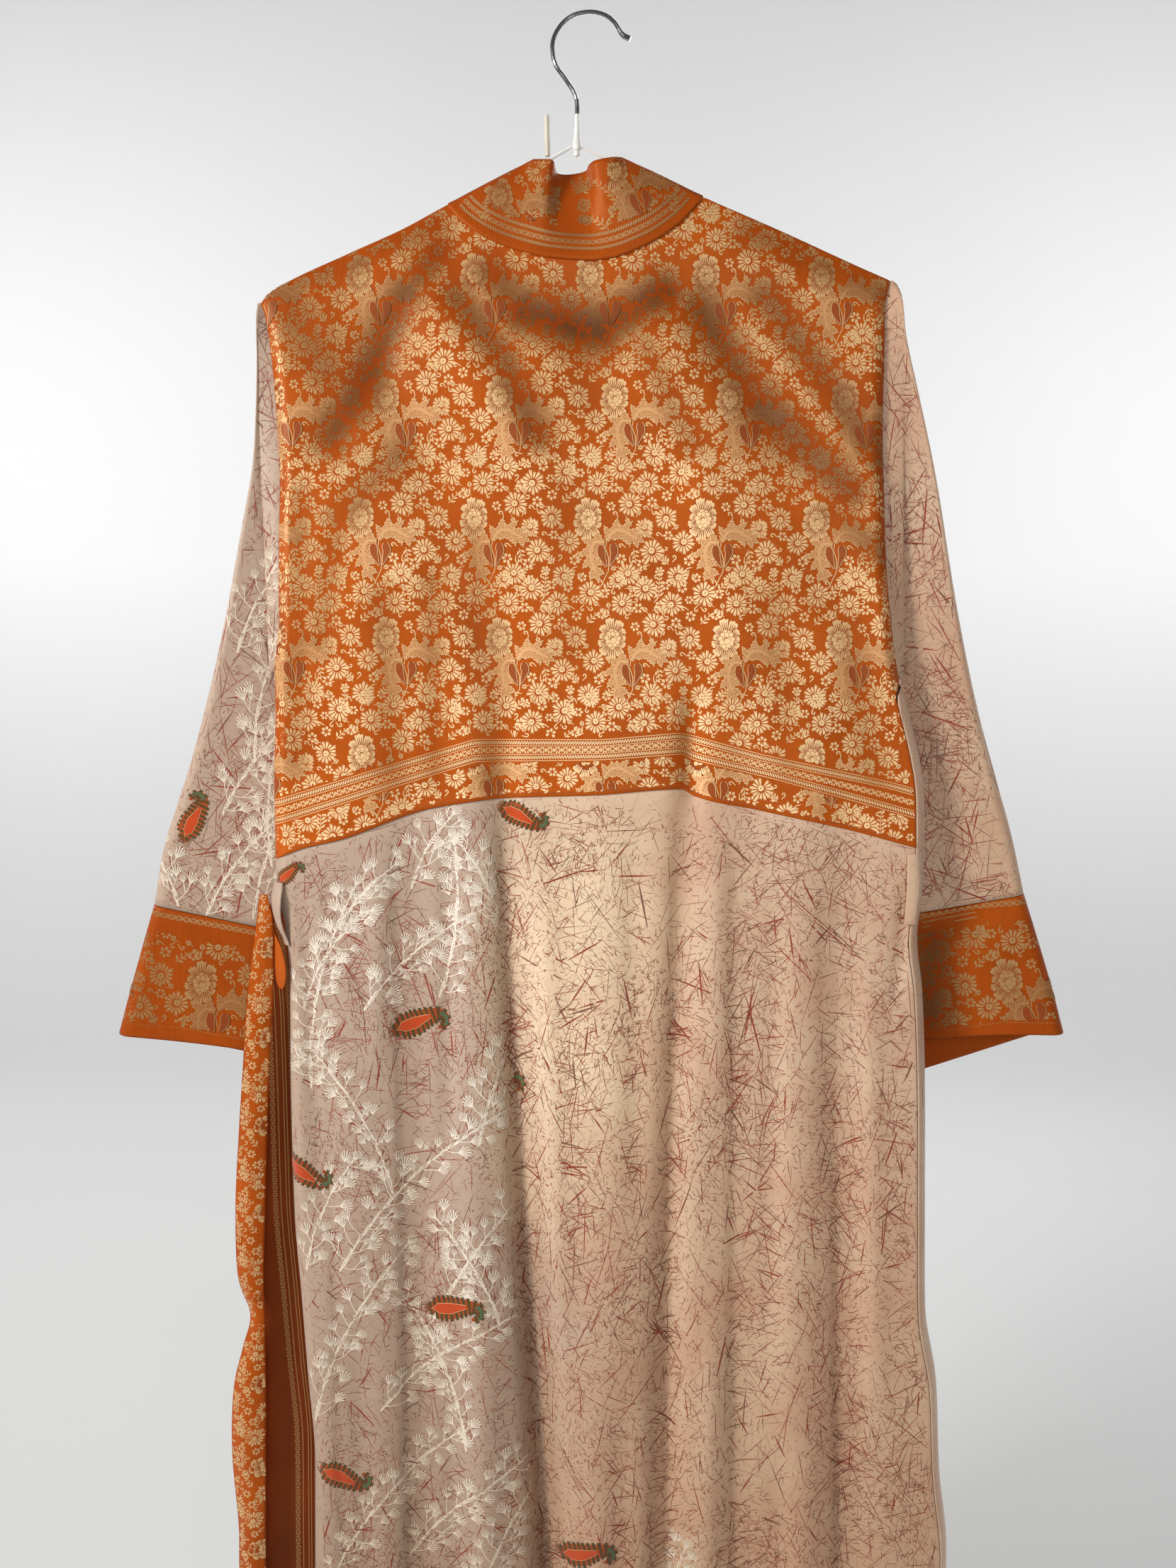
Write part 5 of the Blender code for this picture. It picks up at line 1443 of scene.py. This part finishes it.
def spray(length, bend, chance):
    """A long curved stem of fine stitches, with stalks to both sides that end in tufts."""
    parts = []
    count = max(12, int(length / 4))
    t = np.linspace(0, 1, count)
    spine = np.stack([bend * length * t * t, length * t], -1)
    run, side = headings(spine)

    def on_stem(place):
        i = place / length * (count - 1)
        return int(i), np.array([np.interp(i, range(count), spine[:, k]) for k in (0, 1)])

    for shift, phase in ((0.45, 0.0), (-0.45, 2.0)):
        wave = shift + 0.5 * np.sin(np.arange(count) * 0.9 + phase)
        parts.append(strip(spine + side * wave[:, None], np.linspace(0.38, 0.24, count), WHITE))
    for place in np.arange(3.0, length - 2.0, 2.4):
        i, at = on_stem(place)
        way = 1 if chance.random() < 0.5 else -1
        reach = chance.uniform(3.0, 6.5) * (1 - 0.4 * place / length)
        lean = chance.uniform(0.18, 0.42)
        line = [at, at + run[i] * reach * 0.6 + side[i] * way * reach * lean * 0.5,
                at + run[i] * reach + side[i] * way * reach * lean]
        parts.append(strip(line, [0.36, 0.42, 0.15], white_or_grey(chance), 0.01))
    head = tuft(9.4)
    for k in range(int(length / 5.8)):
        place = (k + 0.8) * 5.8
        if place > length:
            break
        i, at = on_stem(place)
        way = 1 if k % 2 else -1
        turn = (-math.degrees(math.atan2(run[i, 0], run[i, 1]))) + way * chance.uniform(22, 58)
        reach = chance.uniform(8, 19) * (1 - 0.4 * place / length)
        stalk = stalk_from(at, turn, reach, -way * chance.uniform(10, 40))
        thread = white_or_grey(chance)
        parts.append(strip(stalk, [0.32, 0.30, 0.28, 0.28, 0.34], thread, 0.01))
        parts += moved(head, *stalk[-1], turn, chance.uniform(0.72, 1.08))
        if chance.random() < 0.5:
            turn -= way * 30
            stalk = stalk_from(stalk[2], turn, reach * 0.5, 0.0)
            parts.append(strip(stalk, [0.34, 0.32, 0.30, 0.30, 0.34], thread, 0.01))
            parts += moved(head, *stalk[-1], turn, chance.uniform(0.5, 0.75))
    upright = -math.degrees(math.atan2(run[-1, 0], run[-1, 1]))
    return parts + moved(head, *spine[-1], upright, 0.9)


def paisley():
    """Sewn paisley: an orange drop in a band of short stitches, its tip hooked under."""
    spine = np.array(PAISLEY_SPINE)
    lengths = np.concatenate([[0], np.cumsum(np.linalg.norm(np.diff(spine, axis=0), axis=1))])
    line = smoothed(evenly(spine, 0.9), 8)
    halves = np.interp(np.arange(len(line)) * 0.9, lengths, PAISLEY_HALF)
    run, side = headings(line)
    last = int(len(line) * 0.56)
    core = np.maximum(halves[3:last] - 5.0, 0.3)
    core *= np.sqrt(np.clip(np.arange(len(core)) / 5, 0.2, 1.0))
    parts = [strip(line, halves - 0.5, RUST, 0.03), strip(line[3:last], core + 0.35, LINE, 0.13),
             strip(line[3:last], core, ORANGE, 0.17)]
    for i in range(1, len(line) - 1):
        for way in (-1, 1):
            dark = i // 2 % 2
            near = core[max(i - 3, 0)] + 0.5 if i < last else 0.1
            far = halves[i] + (0.9 if dark else -0.6)
            ends = [line[i] + side[i] * way * near, line[i] + side[i] * way * far - run[i] * 0.3]
            parts.append(strip(ends, [0.40, 0.56], OLIVE if dark else RUST, 0.05 + 0.02 * dark))
    for i in range(8):
        tip = line[2] + np.array(ray(3.0 + halves[2] * 0.55, 125 + i * 22))
        parts.append(strip([line[3], tip], [0.3, 0.4], OLIVE if i % 2 else RUST, 0.06))
    hook = slice(int(len(line) * 0.68), -5)
    parts.append(strip(line[hook] + side[hook] * 0.5, np.maximum(halves[hook] * 0.42, 0.5), GREEN,
                       0.13))
    return parts


def printed_lines(count, left, right, low, high, chance, crowded=()):
    """Thin straight printed lines, in random directions, some of them crowded together."""
    parts = []
    for _ in range(count):
        if len(crowded) and chance.random() < CROWDED_SHARE:
            x, z = crowded[int(chance.integers(len(crowded)))]
            x, z = x * 1000 + chance.normal(0, 26), z * 1000 + chance.normal(0, 26)
        else:
            x, z = chance.uniform(left, right), chance.uniform(low, high)
        length = min(float(chance.gamma(2.2, 6.5)) + 4.0, 70.0)
        turn = chance.uniform(0, math.pi)
        steps = max(2, int(length / 7) + 1)
        t = np.linspace(-0.5, 0.5, steps)
        bow = chance.normal(0, 0.012) * length
        line = np.stack([x + math.cos(turn) * length * t - math.sin(turn) * bow * (t * t),
                         z + math.sin(turn) * length * t + math.cos(turn) * bow * (t * t)], -1)
        half = chance.choice([0.18, 0.26, 0.36, 0.62], p=[0.38, 0.36, 0.21, 0.05])
        widths = half * (1 - 0.75 * np.abs(t * 2) ** 2)
        dye = RUST_DYE if chance.random() < 0.78 else BROWN_DYE
        lift = PRINT_LIFT + PRINT_SPREAD * chance.random()
        parts.append(strip(line, np.maximum(widths, 0.05), dye, lift))
    return parts


def flecks(count, left, right, low, high, chance):
    """Short printed flecks, most of them in loose swarms of one direction."""
    def anywhere():
        return chance.uniform(left, right), chance.uniform(low, high), chance.uniform(0, math.pi)

    swarms = [anywhere() for _ in range(max(6, count // 90))]
    parts = []
    for _ in range(count):
        if chance.random() < 0.7:
            x, z, turn = swarms[int(chance.integers(len(swarms)))]
            x, z = x + chance.normal(0, 16), z + chance.normal(0, 16)
            turn = turn + chance.normal(0, 0.35)
        else:
            x, z, turn = anywhere()
        reach = float(chance.gamma(2.0, 0.75)) + 0.5
        half = chance.uniform(0.15, 0.28)
        way = np.array((math.cos(turn), math.sin(turn))) * reach
        middle = np.array((x, z))
        dye = RUST_DYE if chance.random() < 0.6 else BROWN_DYE
        lift = PRINT_LIFT + PRINT_SPREAD * chance.random()
        parts.append(strip([middle - way, middle + way], [half, half * 0.5], dye, lift))
    return parts


def print_over(counts, area, chance, crowded=()):
    """Printed lines and flecks over an area: left, right, low and high, in millimetres."""
    lines = printed_lines(counts[0], *area, chance, crowded)
    return in_metres(lines + flecks(counts[1], *area, chance))


def sewn_sprays(rows, chance):
    sewn = []
    for x, z, length, turn, bend in rows:
        sewn += moved(spray(length, bend, chance), x * 1000, z * 1000, turn)
    return in_metres(sewn)


# The cloths

def back_columns():
    shares = np.linspace(0, 1, BACK_COLUMNS)
    return (roll_columns(-1, -1, SIDE_SEAM_TURN, 10)
            + flat_columns(shares, flat_left, flat_right, -1)
            + roll_columns(1, -1, BACK_SEAM_TURN, 10))


def at_hem(x):
    return HEM_Z + 0 * x


def yoke_top(x):
    return np.where((NECK_LEFT_X < x) & (x < NECK_RIGHT_X), neck_seam_z(x), shoulder_z(x))


def made_yoke():
    grid = hung(back_columns(), yoke_top, lambda x: yoke_seam_z(x) - FOLDED_EDGE, YOKE_ROWS)
    above = grid[:, :, 2] - (yoke_seam_z(grid[:, :, 0]) - FOLDED_EDGE)
    grid[:, :, 1] -= EDGE_RAISED * ease((0.005 - above) / EDGE_RAMP)
    return sheet_of("yoke_brocade", grid, orange_satin, shade=back_shade)


def made_back():
    grid = hung(back_columns(), lambda x: yoke_seam_z(x) + TUCKED, at_hem, BACK_ROWS)
    below = yoke_seam_z(grid[:, :, 0]) + TUCKED - grid[:, :, 2]
    grid[:, :, 1] += EDGE_SUNK * ease((0.007 - below) / EDGE_RAMP)
    return sheet_of("back_cloth", grid, printed_silk, shade=back_shade)


def made_front(side, word):
    below = SIDE_SEAM_TURN if side < 0 else SEAM_STEP - BACK_SEAM_TURN
    rolled = roll_columns(side, 1, below, 12 if side < 0 else 22)
    shares = np.linspace(0, 1, FRONT_COLUMNS)
    if side < 0:
        columns = rolled + flat_columns(shares, flat_left, lambda z: band_seam(-1, z) - SEAM, 1)
    else:
        columns = flat_columns(shares, lambda z: band_seam(1, z) + SEAM, flat_right, 1) + rolled
    grid = hung(columns, shoulder_z, at_hem, FRONT_ROWS)
    return sheet_of(f"front_cloth_{word}", grid[:, ::-1], printed_silk, shade=front_shade)


def made_front_band(side, word):
    edges = (lambda z: band_seam(side, z), lambda z: band_edge(side, z))
    if side > 0:
        edges = edges[::-1]
    columns = flat_columns(np.linspace(0, 1, BAND_COLUMNS), *edges, 1)
    grid = hung(columns, shoulder_z, at_hem, BAND_ROWS)
    name = f"front_band_{word}_brocade"
    return sheet_of(name, grid[:, ::-1], orange_satin, shade=front_shade)


def collar_shade(x, z):
    """Painted shade of the collar: darker all over, and more so in the hollow at the middle,
    towards the right and on the hump away from the light.
    """
    hollow = np.exp(-((x + 0.012) / 0.014) ** 2) * ease((z + 0.165) / 0.02)
    hump = np.exp(-((x + 0.060) / 0.013) ** 2)
    return 0.66 - 0.20 * hollow - 0.12 * ease((x - 0.012) / 0.05) - 0.14 * hump


# Painted shade of the cuffs: darker all over, much darker in a hollow of the right cuff, and darker
# towards the left cuff's outer end
def cuff_shade(x, z):
    dark = np.where(x > 0, np.exp(-((x - 0.262) / 0.018) ** 2) * ease((-0.628 - z) / 0.02), 0.0)
    return 0.63 - 0.32 * dark - 0.10 * np.where(x > 0, 0.0, ease((-0.30 - x) / 0.03))


def made_neck_band():
    seams = np.array([row[0] for row in NECK_BAND])
    at = np.linspace(seams[0], seams[-1], 90)
    edge = [curve(NECK_BAND, column)(at) for column in (1, 2, 3)]
    seam_z = neck_seam_z(at)
    seam_y = np.minimum(-back_depth(at, seam_z), -EDGE_APART)
    grid = [np.stack([at, seam_y - 0.0013, seam_z - 0.0016], -1)]
    for share in np.linspace(0.012, 1.0, 26):
        bulge = 0.0010 * math.sin(math.pi * share) + 0.0011 * (1 - ease(share / 0.12))
        grid.append(np.stack([mix(at, edge[0], share), mix(seam_y, edge[1], share) - bulge,
                              mix(seam_z + SEAM, edge[2], share)], -1))
    return sheet_of("collar_brocade", np.array(grid)[::-1], orange_satin, shade=collar_shade)


def made_sleeve(side, word):
    head = armhole(side)
    rings = [head * (1.0, 0.86, 1.0) - (side * 0.006, 0.0, 0.001), head]
    for ox, oz, oy, ix, iz, iy, half in LEFT_SLEEVE if side < 0 else RIGHT_SLEEVE:
        rings.append(sleeve_section((ox, oy, oz), (ix, iy, iz), half))
    grid = between_rings(rings, SLEEVE_SPACE)
    return sheet_of(f"sleeve_cloth_{word}", grid if side < 0 else grid[:, ::-1], printed_silk,
                    closed=True, shade=lambda x, z: SLEEVE_LIGHT + 0 * x)


def made_cuff(side, word):
    sections = LEFT_CUFF if side < 0 else RIGHT_CUFF
    rings = []
    for row, (ox, oz, oy, ix, iz, iy, half, near_rise, far_drop) in enumerate(sections):
        place, width, depth = CUFF_DENT
        dent = None if side < 0 else (place, width, depth * row / (len(sections) - 1))
        rings.append(sleeve_section((ox, oy, oz), (ix, iy, iz), half, near_rise, far_drop, dent))
    grid = between_rings(rings, CUFF_SPACE)
    return sheet_of(f"cuff_brocade_{word}", grid if side < 0 else grid[:, ::-1], orange_satin,
                    closed=True, shade=cuff_shade)


def made_strip(name, sections, finish, light, spacing=BELT_SPACE):
    rings = []
    for z, left_x, left_y, right_x, right_y, bulge in sections:
        share = np.linspace(0, 1, 13)
        rings.append(np.stack([mix(left_x, right_x, share),
                               mix(left_y, right_y, share) - bulge * np.sin(math.pi * share),
                               np.full(13, z)], -1))
    return sheet_of(name, between_rings(rings, spacing), finish, shade=lambda x, z: light + 0 * x)


def above_back(x, z, distance):
    """Points a distance out from the back of the body, also on the rounded sides."""
    side = -1 if x[0] < 0 else 1
    inset = x - left_side(z) if side < 0 else right_side(z) - x
    angle = np.arccos(1 - np.clip(inset / ROLL, 0.0, 1.0))
    depth = back_depth(x, z)
    across, away = np.cos(angle) / ROLL, np.sin(angle) / depth
    size = np.hypot(across, away)
    return np.stack([x + side * distance * across / size,
                     -depth * np.sin(angle) - distance * away / size, z + 0 * x], -1)


def made_loop(name, sections):
    rings = []
    for z, left_x, right_x, distance in sections:
        rings.append(above_back(mix(left_x, right_x, np.linspace(0, 1, 7)), z, distance))
    return sheet_of(name, between_rings(rings, LOOP_SPACE), printed_silk)


def clear_of_border(x, z):
    upper = np.interp(x, *zip(*UPPER_CORD)) + 0.0036
    lower = np.interp(x, *zip(*LOWER_CORD)) - 0.0032
    return ((z > upper) | (z < lower)) & (z > yoke_seam_z(x) + 0.0012)


def above_line(line, distance):
    xs, zs = zip(*line)
    return lambda x, z: z > np.interp(x, xs, zs) + distance


def beside(line, distance):
    """A line moved to its left by a distance, both in metres, given back in millimetres."""
    line = np.array(line, float) * 1000
    _, side = headings(line)
    return line + side * distance * 1000


def under_yoke(x, z):
    return z < yoke_seam_z(x) - FOLDED_EDGE


# The robe

def stated(cloth, node, on_it=()):
    """Attach a cloth and the pieces on it to the root body, and hide the part of the cut that it is
    dressed over.
    """
    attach(cloth, "root")
    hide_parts(node)
    for piece in on_it:
        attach(piece, "root")


def dress_yoke(one):
    yoke, face = made_yoke()
    field = repeated(one, (-2, 5), (-4, 4), PEONY_PLACE)
    figures = lay("yoke_figures", face, field, BROCADE, keep=clear_of_border)
    edge = beside([(x, float(yoke_seam_z(x))) for x in np.linspace(-0.228, 0.247, 60)], 0.0016)
    cords = in_metres(border(UPPER_CORD, LOWER_CORD) + [strip(edge, 0.35, DARK, 0.0)])
    edging = lay("yoke_border", face, cords, BROCADE)
    stated(yoke, "back_yoke",
           [figures, edging])


def dress_collar(one):
    collar, face = made_neck_band()
    seam = [(x, float(neck_seam_z(x))) for x in np.linspace(-0.094, 0.075, 60)]
    sewn = striped_cord(beside(seam, 0.0156), 1.2)
    sewn += striped_cord(beside(seam, 0.0064), 1.2, -1.0)
    sewn += flower_chain(beside(seam, 0.0110), 4.8, 0.52)
    sewn += moved(peony(), -2.5, -138, 80, 0.34) + moved(daisy(5.4, 11, 1.6, 0.4), -3.5, -128, 10)
    for turn in (-52, -18, 14, 48):
        sewn += moved(fern(11, 4, 0.15), -5, -119, turn)
    for x, z, turn, length, bend in COLLAR_FERNS:
        sewn += moved(fern(length, max(4, round(length / 3.2)), bend), x, z, turn, 1.15)
    figures = lay("collar_figures", face, in_metres(sewn), BROCADE)
    over_stripes = above_line(seam, 0.0200)
    field = repeated(one, (-2, 3), (-1, 2), (-0.062, -0.124), 12.0, 1.0)
    humps = lay("collar_brocade_figures", face, field, BROCADE,
                keep=lambda x, z: over_stripes(x, z) & ((x < -0.019) | (x > 0.012)))
    stated(collar, "neck_band",
           [figures, humps])


def dress_back(drop, chance):
    back, face = made_back()
    lines = print_over(BACK_PRINT, (-212, 282, PRINT_LOW, -545), chance, CROWDED)
    printed = lay("back_print", face, lines, PRINT, keep=under_yoke)
    sprays = lay("back_sprays", face, sewn_sprays(SPRAYS, chance), EMBROIDERY, keep=lambda x, z: (
        under_yoke(x, z) & ((x < lap_line(z) - 0.002) | (x > 0.03))))
    drops = []
    for x, z, turn, size, mirrored in PAISLEYS:
        drops += moved(drop, x * 1000, z * 1000, turn, size * 1.06, mirrored)
    paisleys = lay("back_paisleys", face, in_metres(drops), PAISLEY, keep=lambda x, z: (
        under_yoke(x, z) & ((np.abs(z + 0.760) > 0.03) | (x > lap_line(z) + 0.002))))
    pieces = [printed, sprays, paisleys]
    for word, way in (("left", 1.0), ("right", -1.0)):
        lines = print_over(EDGE_PRINT, (-40, 45, PRINT_LOW, -560), chance)
        pieces.append(lay(f"back_print_side_{word}", face, lines, PRINT, (way, 0.0, 0.0)))
    stated(back, "back_body", pieces)


def dress_front(side, word, one, chance):
    front, face = made_front(side, word)
    left, right = (-215, -8) if side < 0 else (60, 285)
    lines = print_over(FRONT_PRINT, (left, right, PRINT_LOW, -140), chance)
    printed = lay(f"front_print_{word}", face, lines, PRINT, FRONT_WAY)
    left, right = (-230, -150) if side < 0 else (150, 290)
    lines = in_metres(printed_lines(BEHIND_LINES, left, right, PRINT_LOW, -460, chance))
    behind = lay(f"front_print_side_{word}", face, lines, PRINT)
    lines = print_over(EDGE_PRINT, (-40, 45, PRINT_LOW, -300), chance)
    edge = lay(f"front_print_edge_{word}", face, lines, PRINT, (-float(side), 0.0, 0.0))
    pieces = [printed, behind, edge]
    if side < 0:
        sewn = []
        for x, z, length, turn, bend in SPRAYS[:FRONT_SPRAYS]:
            sprig = spray(length, -bend, chance)
            sewn += moved(sprig, x * 1000 * 0.85 - 15, z * 1000 + 40, -turn)
        pieces.append(lay("front_sprays", face, in_metres(sewn), EMBROIDERY, FRONT_WAY))
    band, band_face = made_front_band(side, word)
    field = repeated(one, (-2, 3), (-14, 4), (0.0, -0.16))
    woven = lay(f"front_band_figures_{word}", band_face, field, BROCADE, FRONT_WAY)
    stated(front, f"front_{word}", pieces)
    stated(band, f"front_band_{word}", [woven])


def dress_sleeve(side, word, one, drop, chance):
    sleeve, face = made_sleeve(side, word)
    left, right = (-335, -190) if side < 0 else (200, 340)
    pieces = []
    for way, name, counts in ((BACK_WAY, "near", NEAR_PRINT), (FRONT_WAY, "far", FAR_PRINT)):
        lines = print_over(counts, (left, right, -660, -180), chance)
        pieces.append(lay(f"sleeve_print_{word}_{name}", face, lines, PRINT, way))
    if side < 0:
        pieces.append(lay("sleeve_sprays", face, sewn_sprays(SLEEVE_SPRAYS, chance), EMBROIDERY))
        placed = in_metres(moved(drop, -291, -562, -96, 0.95, True))
        pieces.append(lay("sleeve_paisley", face, placed, PAISLEY))
    stated(sleeve, f"sleeve_{word}", pieces)

    cuff, face = made_cuff(side, word)
    seam = LEFT_CUFF_SEAM if side < 0 else RIGHT_CUFF_SEAM
    hem = LEFT_CUFF_HEM if side < 0 else RIGHT_CUFF_HEM
    middle, turn = ((-0.290, -0.690), -11.0) if side < 0 else ((0.318, -0.680), 10.0)
    above_hem, above_cords = above_line(hem, 0.0095), above_line(seam, -0.0195)
    field = repeated(one, (-2, 3), (-2, 3), middle, turn, 1.18)
    figures = lay(f"cuff_figures_{word}", face, field, BROCADE,
                  keep=lambda x, z: above_hem(x, z) & ~above_cords(x, z))
    cords = [strip(beside(seam, place), 0.45, PALE) for place in (-0.0018, -0.0112, -0.0150)]
    cords += flower_chain(beside(seam, -0.0065), 5.4, 0.66)
    cords += [strip(beside(seam, -0.0006), 0.3, DARK)] + stitches(beside(hem, 0.0085))
    edging = lay(f"cuff_border_{word}", face, in_metres(cords), BROCADE)
    far = lay(f"cuff_figures_{word}_far", face, field, BROCADE, FRONT_WAY, above_line(hem, -0.012))
    stated(cuff, f"cuff_{word}",
           [figures, edging, far])


def dress_belt(one):
    outer, face = made_strip("belt_outer_brocade", BELT_OUTER, orange_satin, OUTER_LIGHT)
    field = repeated(one, (-8, 9), (-2, 3), (-0.238, -0.930), 88.0, 0.85)
    outer_figures = lay("belt_outer_figures", face, field, BROCADE)
    turn, _ = made_strip("belt_turn_satin", BELT_TURN, plain_satin, TURN_LIGHT, TURN_SPACE)
    inner, face = made_strip("belt_inner_brocade", BELT_INNER, painted_shade_satin, INNER_LIGHT)
    edge_x = curve([(row[0], row[3]) for row in BELT_INNER])
    edge = [(float(edge_x(z)), z) for z in np.linspace(-0.640, -1.205, 80)]
    woven = [strip(beside(edge, place), 0.3, PALE)
             for place in (-0.0035, -0.0115, -0.0135, -0.0175)]
    woven += flower_chain(beside(edge, -0.0215), 6.0, 0.55)
    woven += flower_chain(beside(edge, -0.0075), 5.5, 0.5)
    inner_figures = lay("belt_inner_figures", face, in_metres(woven), BROCADE)
    loop_left, _ = made_loop("loop_cloth_left", LEFT_LOOP)
    loop_right, _ = made_loop("loop_cloth_right", RIGHT_LOOP)
    stated(outer, "belt_outer_end",
           [outer_figures])
    stated(turn, "belt_turn")
    stated(inner, "belt_inner_end",
           [inner_figures])
    stated(loop_left, "belt_loop_left")
    stated(loop_right, "belt_loop_right")


def dress():
    chance = np.random.default_rng(SEED)
    one, drop = joined(brocade_repeat()), paisley()
    dress_yoke(one)
    dress_collar(one)
    dress_back(drop, chance)
    for side, word in ((-1, "left"), (1, "right")):
        dress_front(side, word, one, chance)
    for side, word in ((-1, "left"), (1, "right")):
        dress_sleeve(side, word, one, drop, chance)
    dress_belt(one)


def coat_finish(name, roughness, scale, contrast, first, second, height, **constants):
    """A coat of uneven thickness and colour."""
    made, tree, shader = finish_named(name, roughness, **constants)
    runs = patches_at(tree, on_object(tree), scale, contrast)
    tree.links.new(blend(tree, runs, tone(first), tone(second)), shader["Base Color"])
    bump_into(tree, shader, runs, height, 0.4)
    return made


def hanger_finishes():
    chrome, tree, shader = finish_named("polished chrome", 0.12, Metallic=1.0)
    rub = patches_at(tree, on_object(tree), 160.0, 0.3)
    tree.links.new(blend(tree, rub, tone("A4A5A9"), tone("7E7F84")), shader["Base Color"])
    tree.links.new(between_values(tree, rub, 0.0, 1.0, 0.10, 0.24), shader["Roughness"])
    coating = coat_finish("white dipped coating", 0.32, 90.0, 0.35, "EDECE8", "DCDAD3", 0.0002,
                          Coat_Weight=0.2)
    aged = coat_finish("aged white plastic", 0.45, 60.0, 0.3, "DAD3C2", "C6BCA6", 0.0001)
    finishes = {"hook": chrome, "prong": aged, "neck": coating, "bar": coating,
                "arm_left": coating, "arm_right": coating}
    for name, finish in finishes.items():
        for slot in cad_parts["hanger_" + name].material_slots:
            slot.material = finish


def camera():
    yaw, pitch, tilt = (math.radians(a) for a in (YAW, PITCH, TILT))
    forward = Vector((-math.sin(yaw) * math.cos(pitch), math.cos(yaw) * math.cos(pitch),
                      -math.sin(pitch)))
    level = forward.cross(Vector((0, 0, 1))).normalized()
    upward = level.cross(forward)
    right = level * math.cos(tilt) + upward * math.sin(tilt)
    up = upward * math.cos(tilt) - level * math.sin(tilt)
    data = bpy.data.cameras.new("camera")
    data.lens = LENS
    data.sensor_width = SENSOR
    made = bpy.data.objects.new("camera", data)
    turned_so = Matrix((right, up, -forward)).transposed().to_4x4()
    made.matrix_world = Matrix.Translation(EYE) @ turned_so
    bpy.context.scene.collection.objects.link(made)
    bpy.context.scene.camera = made


def area_light(name, place, aim, size, power, colour=(1.0, 1.0, 1.0)):
    data = bpy.data.lights.new(name, "AREA")
    data.size = size
    data.energy = power
    data.color = colour
    made = bpy.data.objects.new(name, data)
    made.location = place
    made.visible_camera = False
    made.rotation_euler = (Vector(aim) - Vector(place)).to_track_quat("-Z", "Y").to_euler()
    bpy.context.scene.collection.objects.link(made)


def studio():
    """A pale floor that curves up into a far wall, and soft light."""
    profile = [(FLOOR_FRONT, FLOOR_Z), (FLOOR_BACK, FLOOR_Z)]
    for degrees in range(9, 91, 9):
        a = math.radians(degrees)
        profile.append((FLOOR_BACK + math.sin(a), FLOOR_Z + 1.0 - math.cos(a)))
    profile.append((FLOOR_BACK + 1.0, WALL_TOP))
    points = [(x, y, z) for y, z in profile for x in (-WALL_HALF, WALL_HALF)]
    faces = [(2 * i, 2 * i + 1, 2 * i + 3, 2 * i + 2) for i in range(len(profile) - 1)]
    wall, tree, shader = finish_named("pale wall", 0.8)
    place = on_object(tree)
    soft = sum_of(tree, "MULTIPLY", patches_at(tree, place, 2.0, 0.4), 0.12)
    z = add(tree, "SeparateXYZ", {0: place}).outputs[2]
    height = between_values(tree, z, FLOOR_Z, FLOOR_Z + 1.3)
    ground = blend(tree, height, tone("CBCCCC"), tone("F0F1F2"))
    tree.links.new(blend(tree, soft, ground, tone("DDDDDC")), shader["Base Color"])
    piece_from("sweep", points, faces, [wall])
    world = bpy.data.worlds.new("studio")
    bpy.context.scene.world = world
    world.use_nodes = True
    background = world.node_tree.nodes["Background"]
    background.inputs["Color"].default_value = (1.0, 0.99, 0.97, 1.0)
    background.inputs["Strength"].default_value = 0.18
    area_light("key", (-1.7, -1.3, 0.15), (0.0, 0.0, -0.5), 0.5, 42.0, (1.0, 0.98, 0.95))
    area_light("front", (0.3, -2.2, 0.0), (0.0, 0.0, -0.5), 1.0, 15.0)
    area_light("far_fill", (0.3, 1.8, 0.4), (0.0, 0.0, -0.6), 1.4, 18.0)
    area_light("wall_left", (-2.4, 0.9, 0.4), (-0.5, 3.0, 0.0), 1.4, 38.0)
    area_light("wall_right", (2.4, 0.9, 0.4), (0.5, 3.0, 0.0), 1.4, 38.0)
    bpy.context.scene.view_settings.view_transform = "Standard"


camera()
studio()
hanger_finishes()
dress()
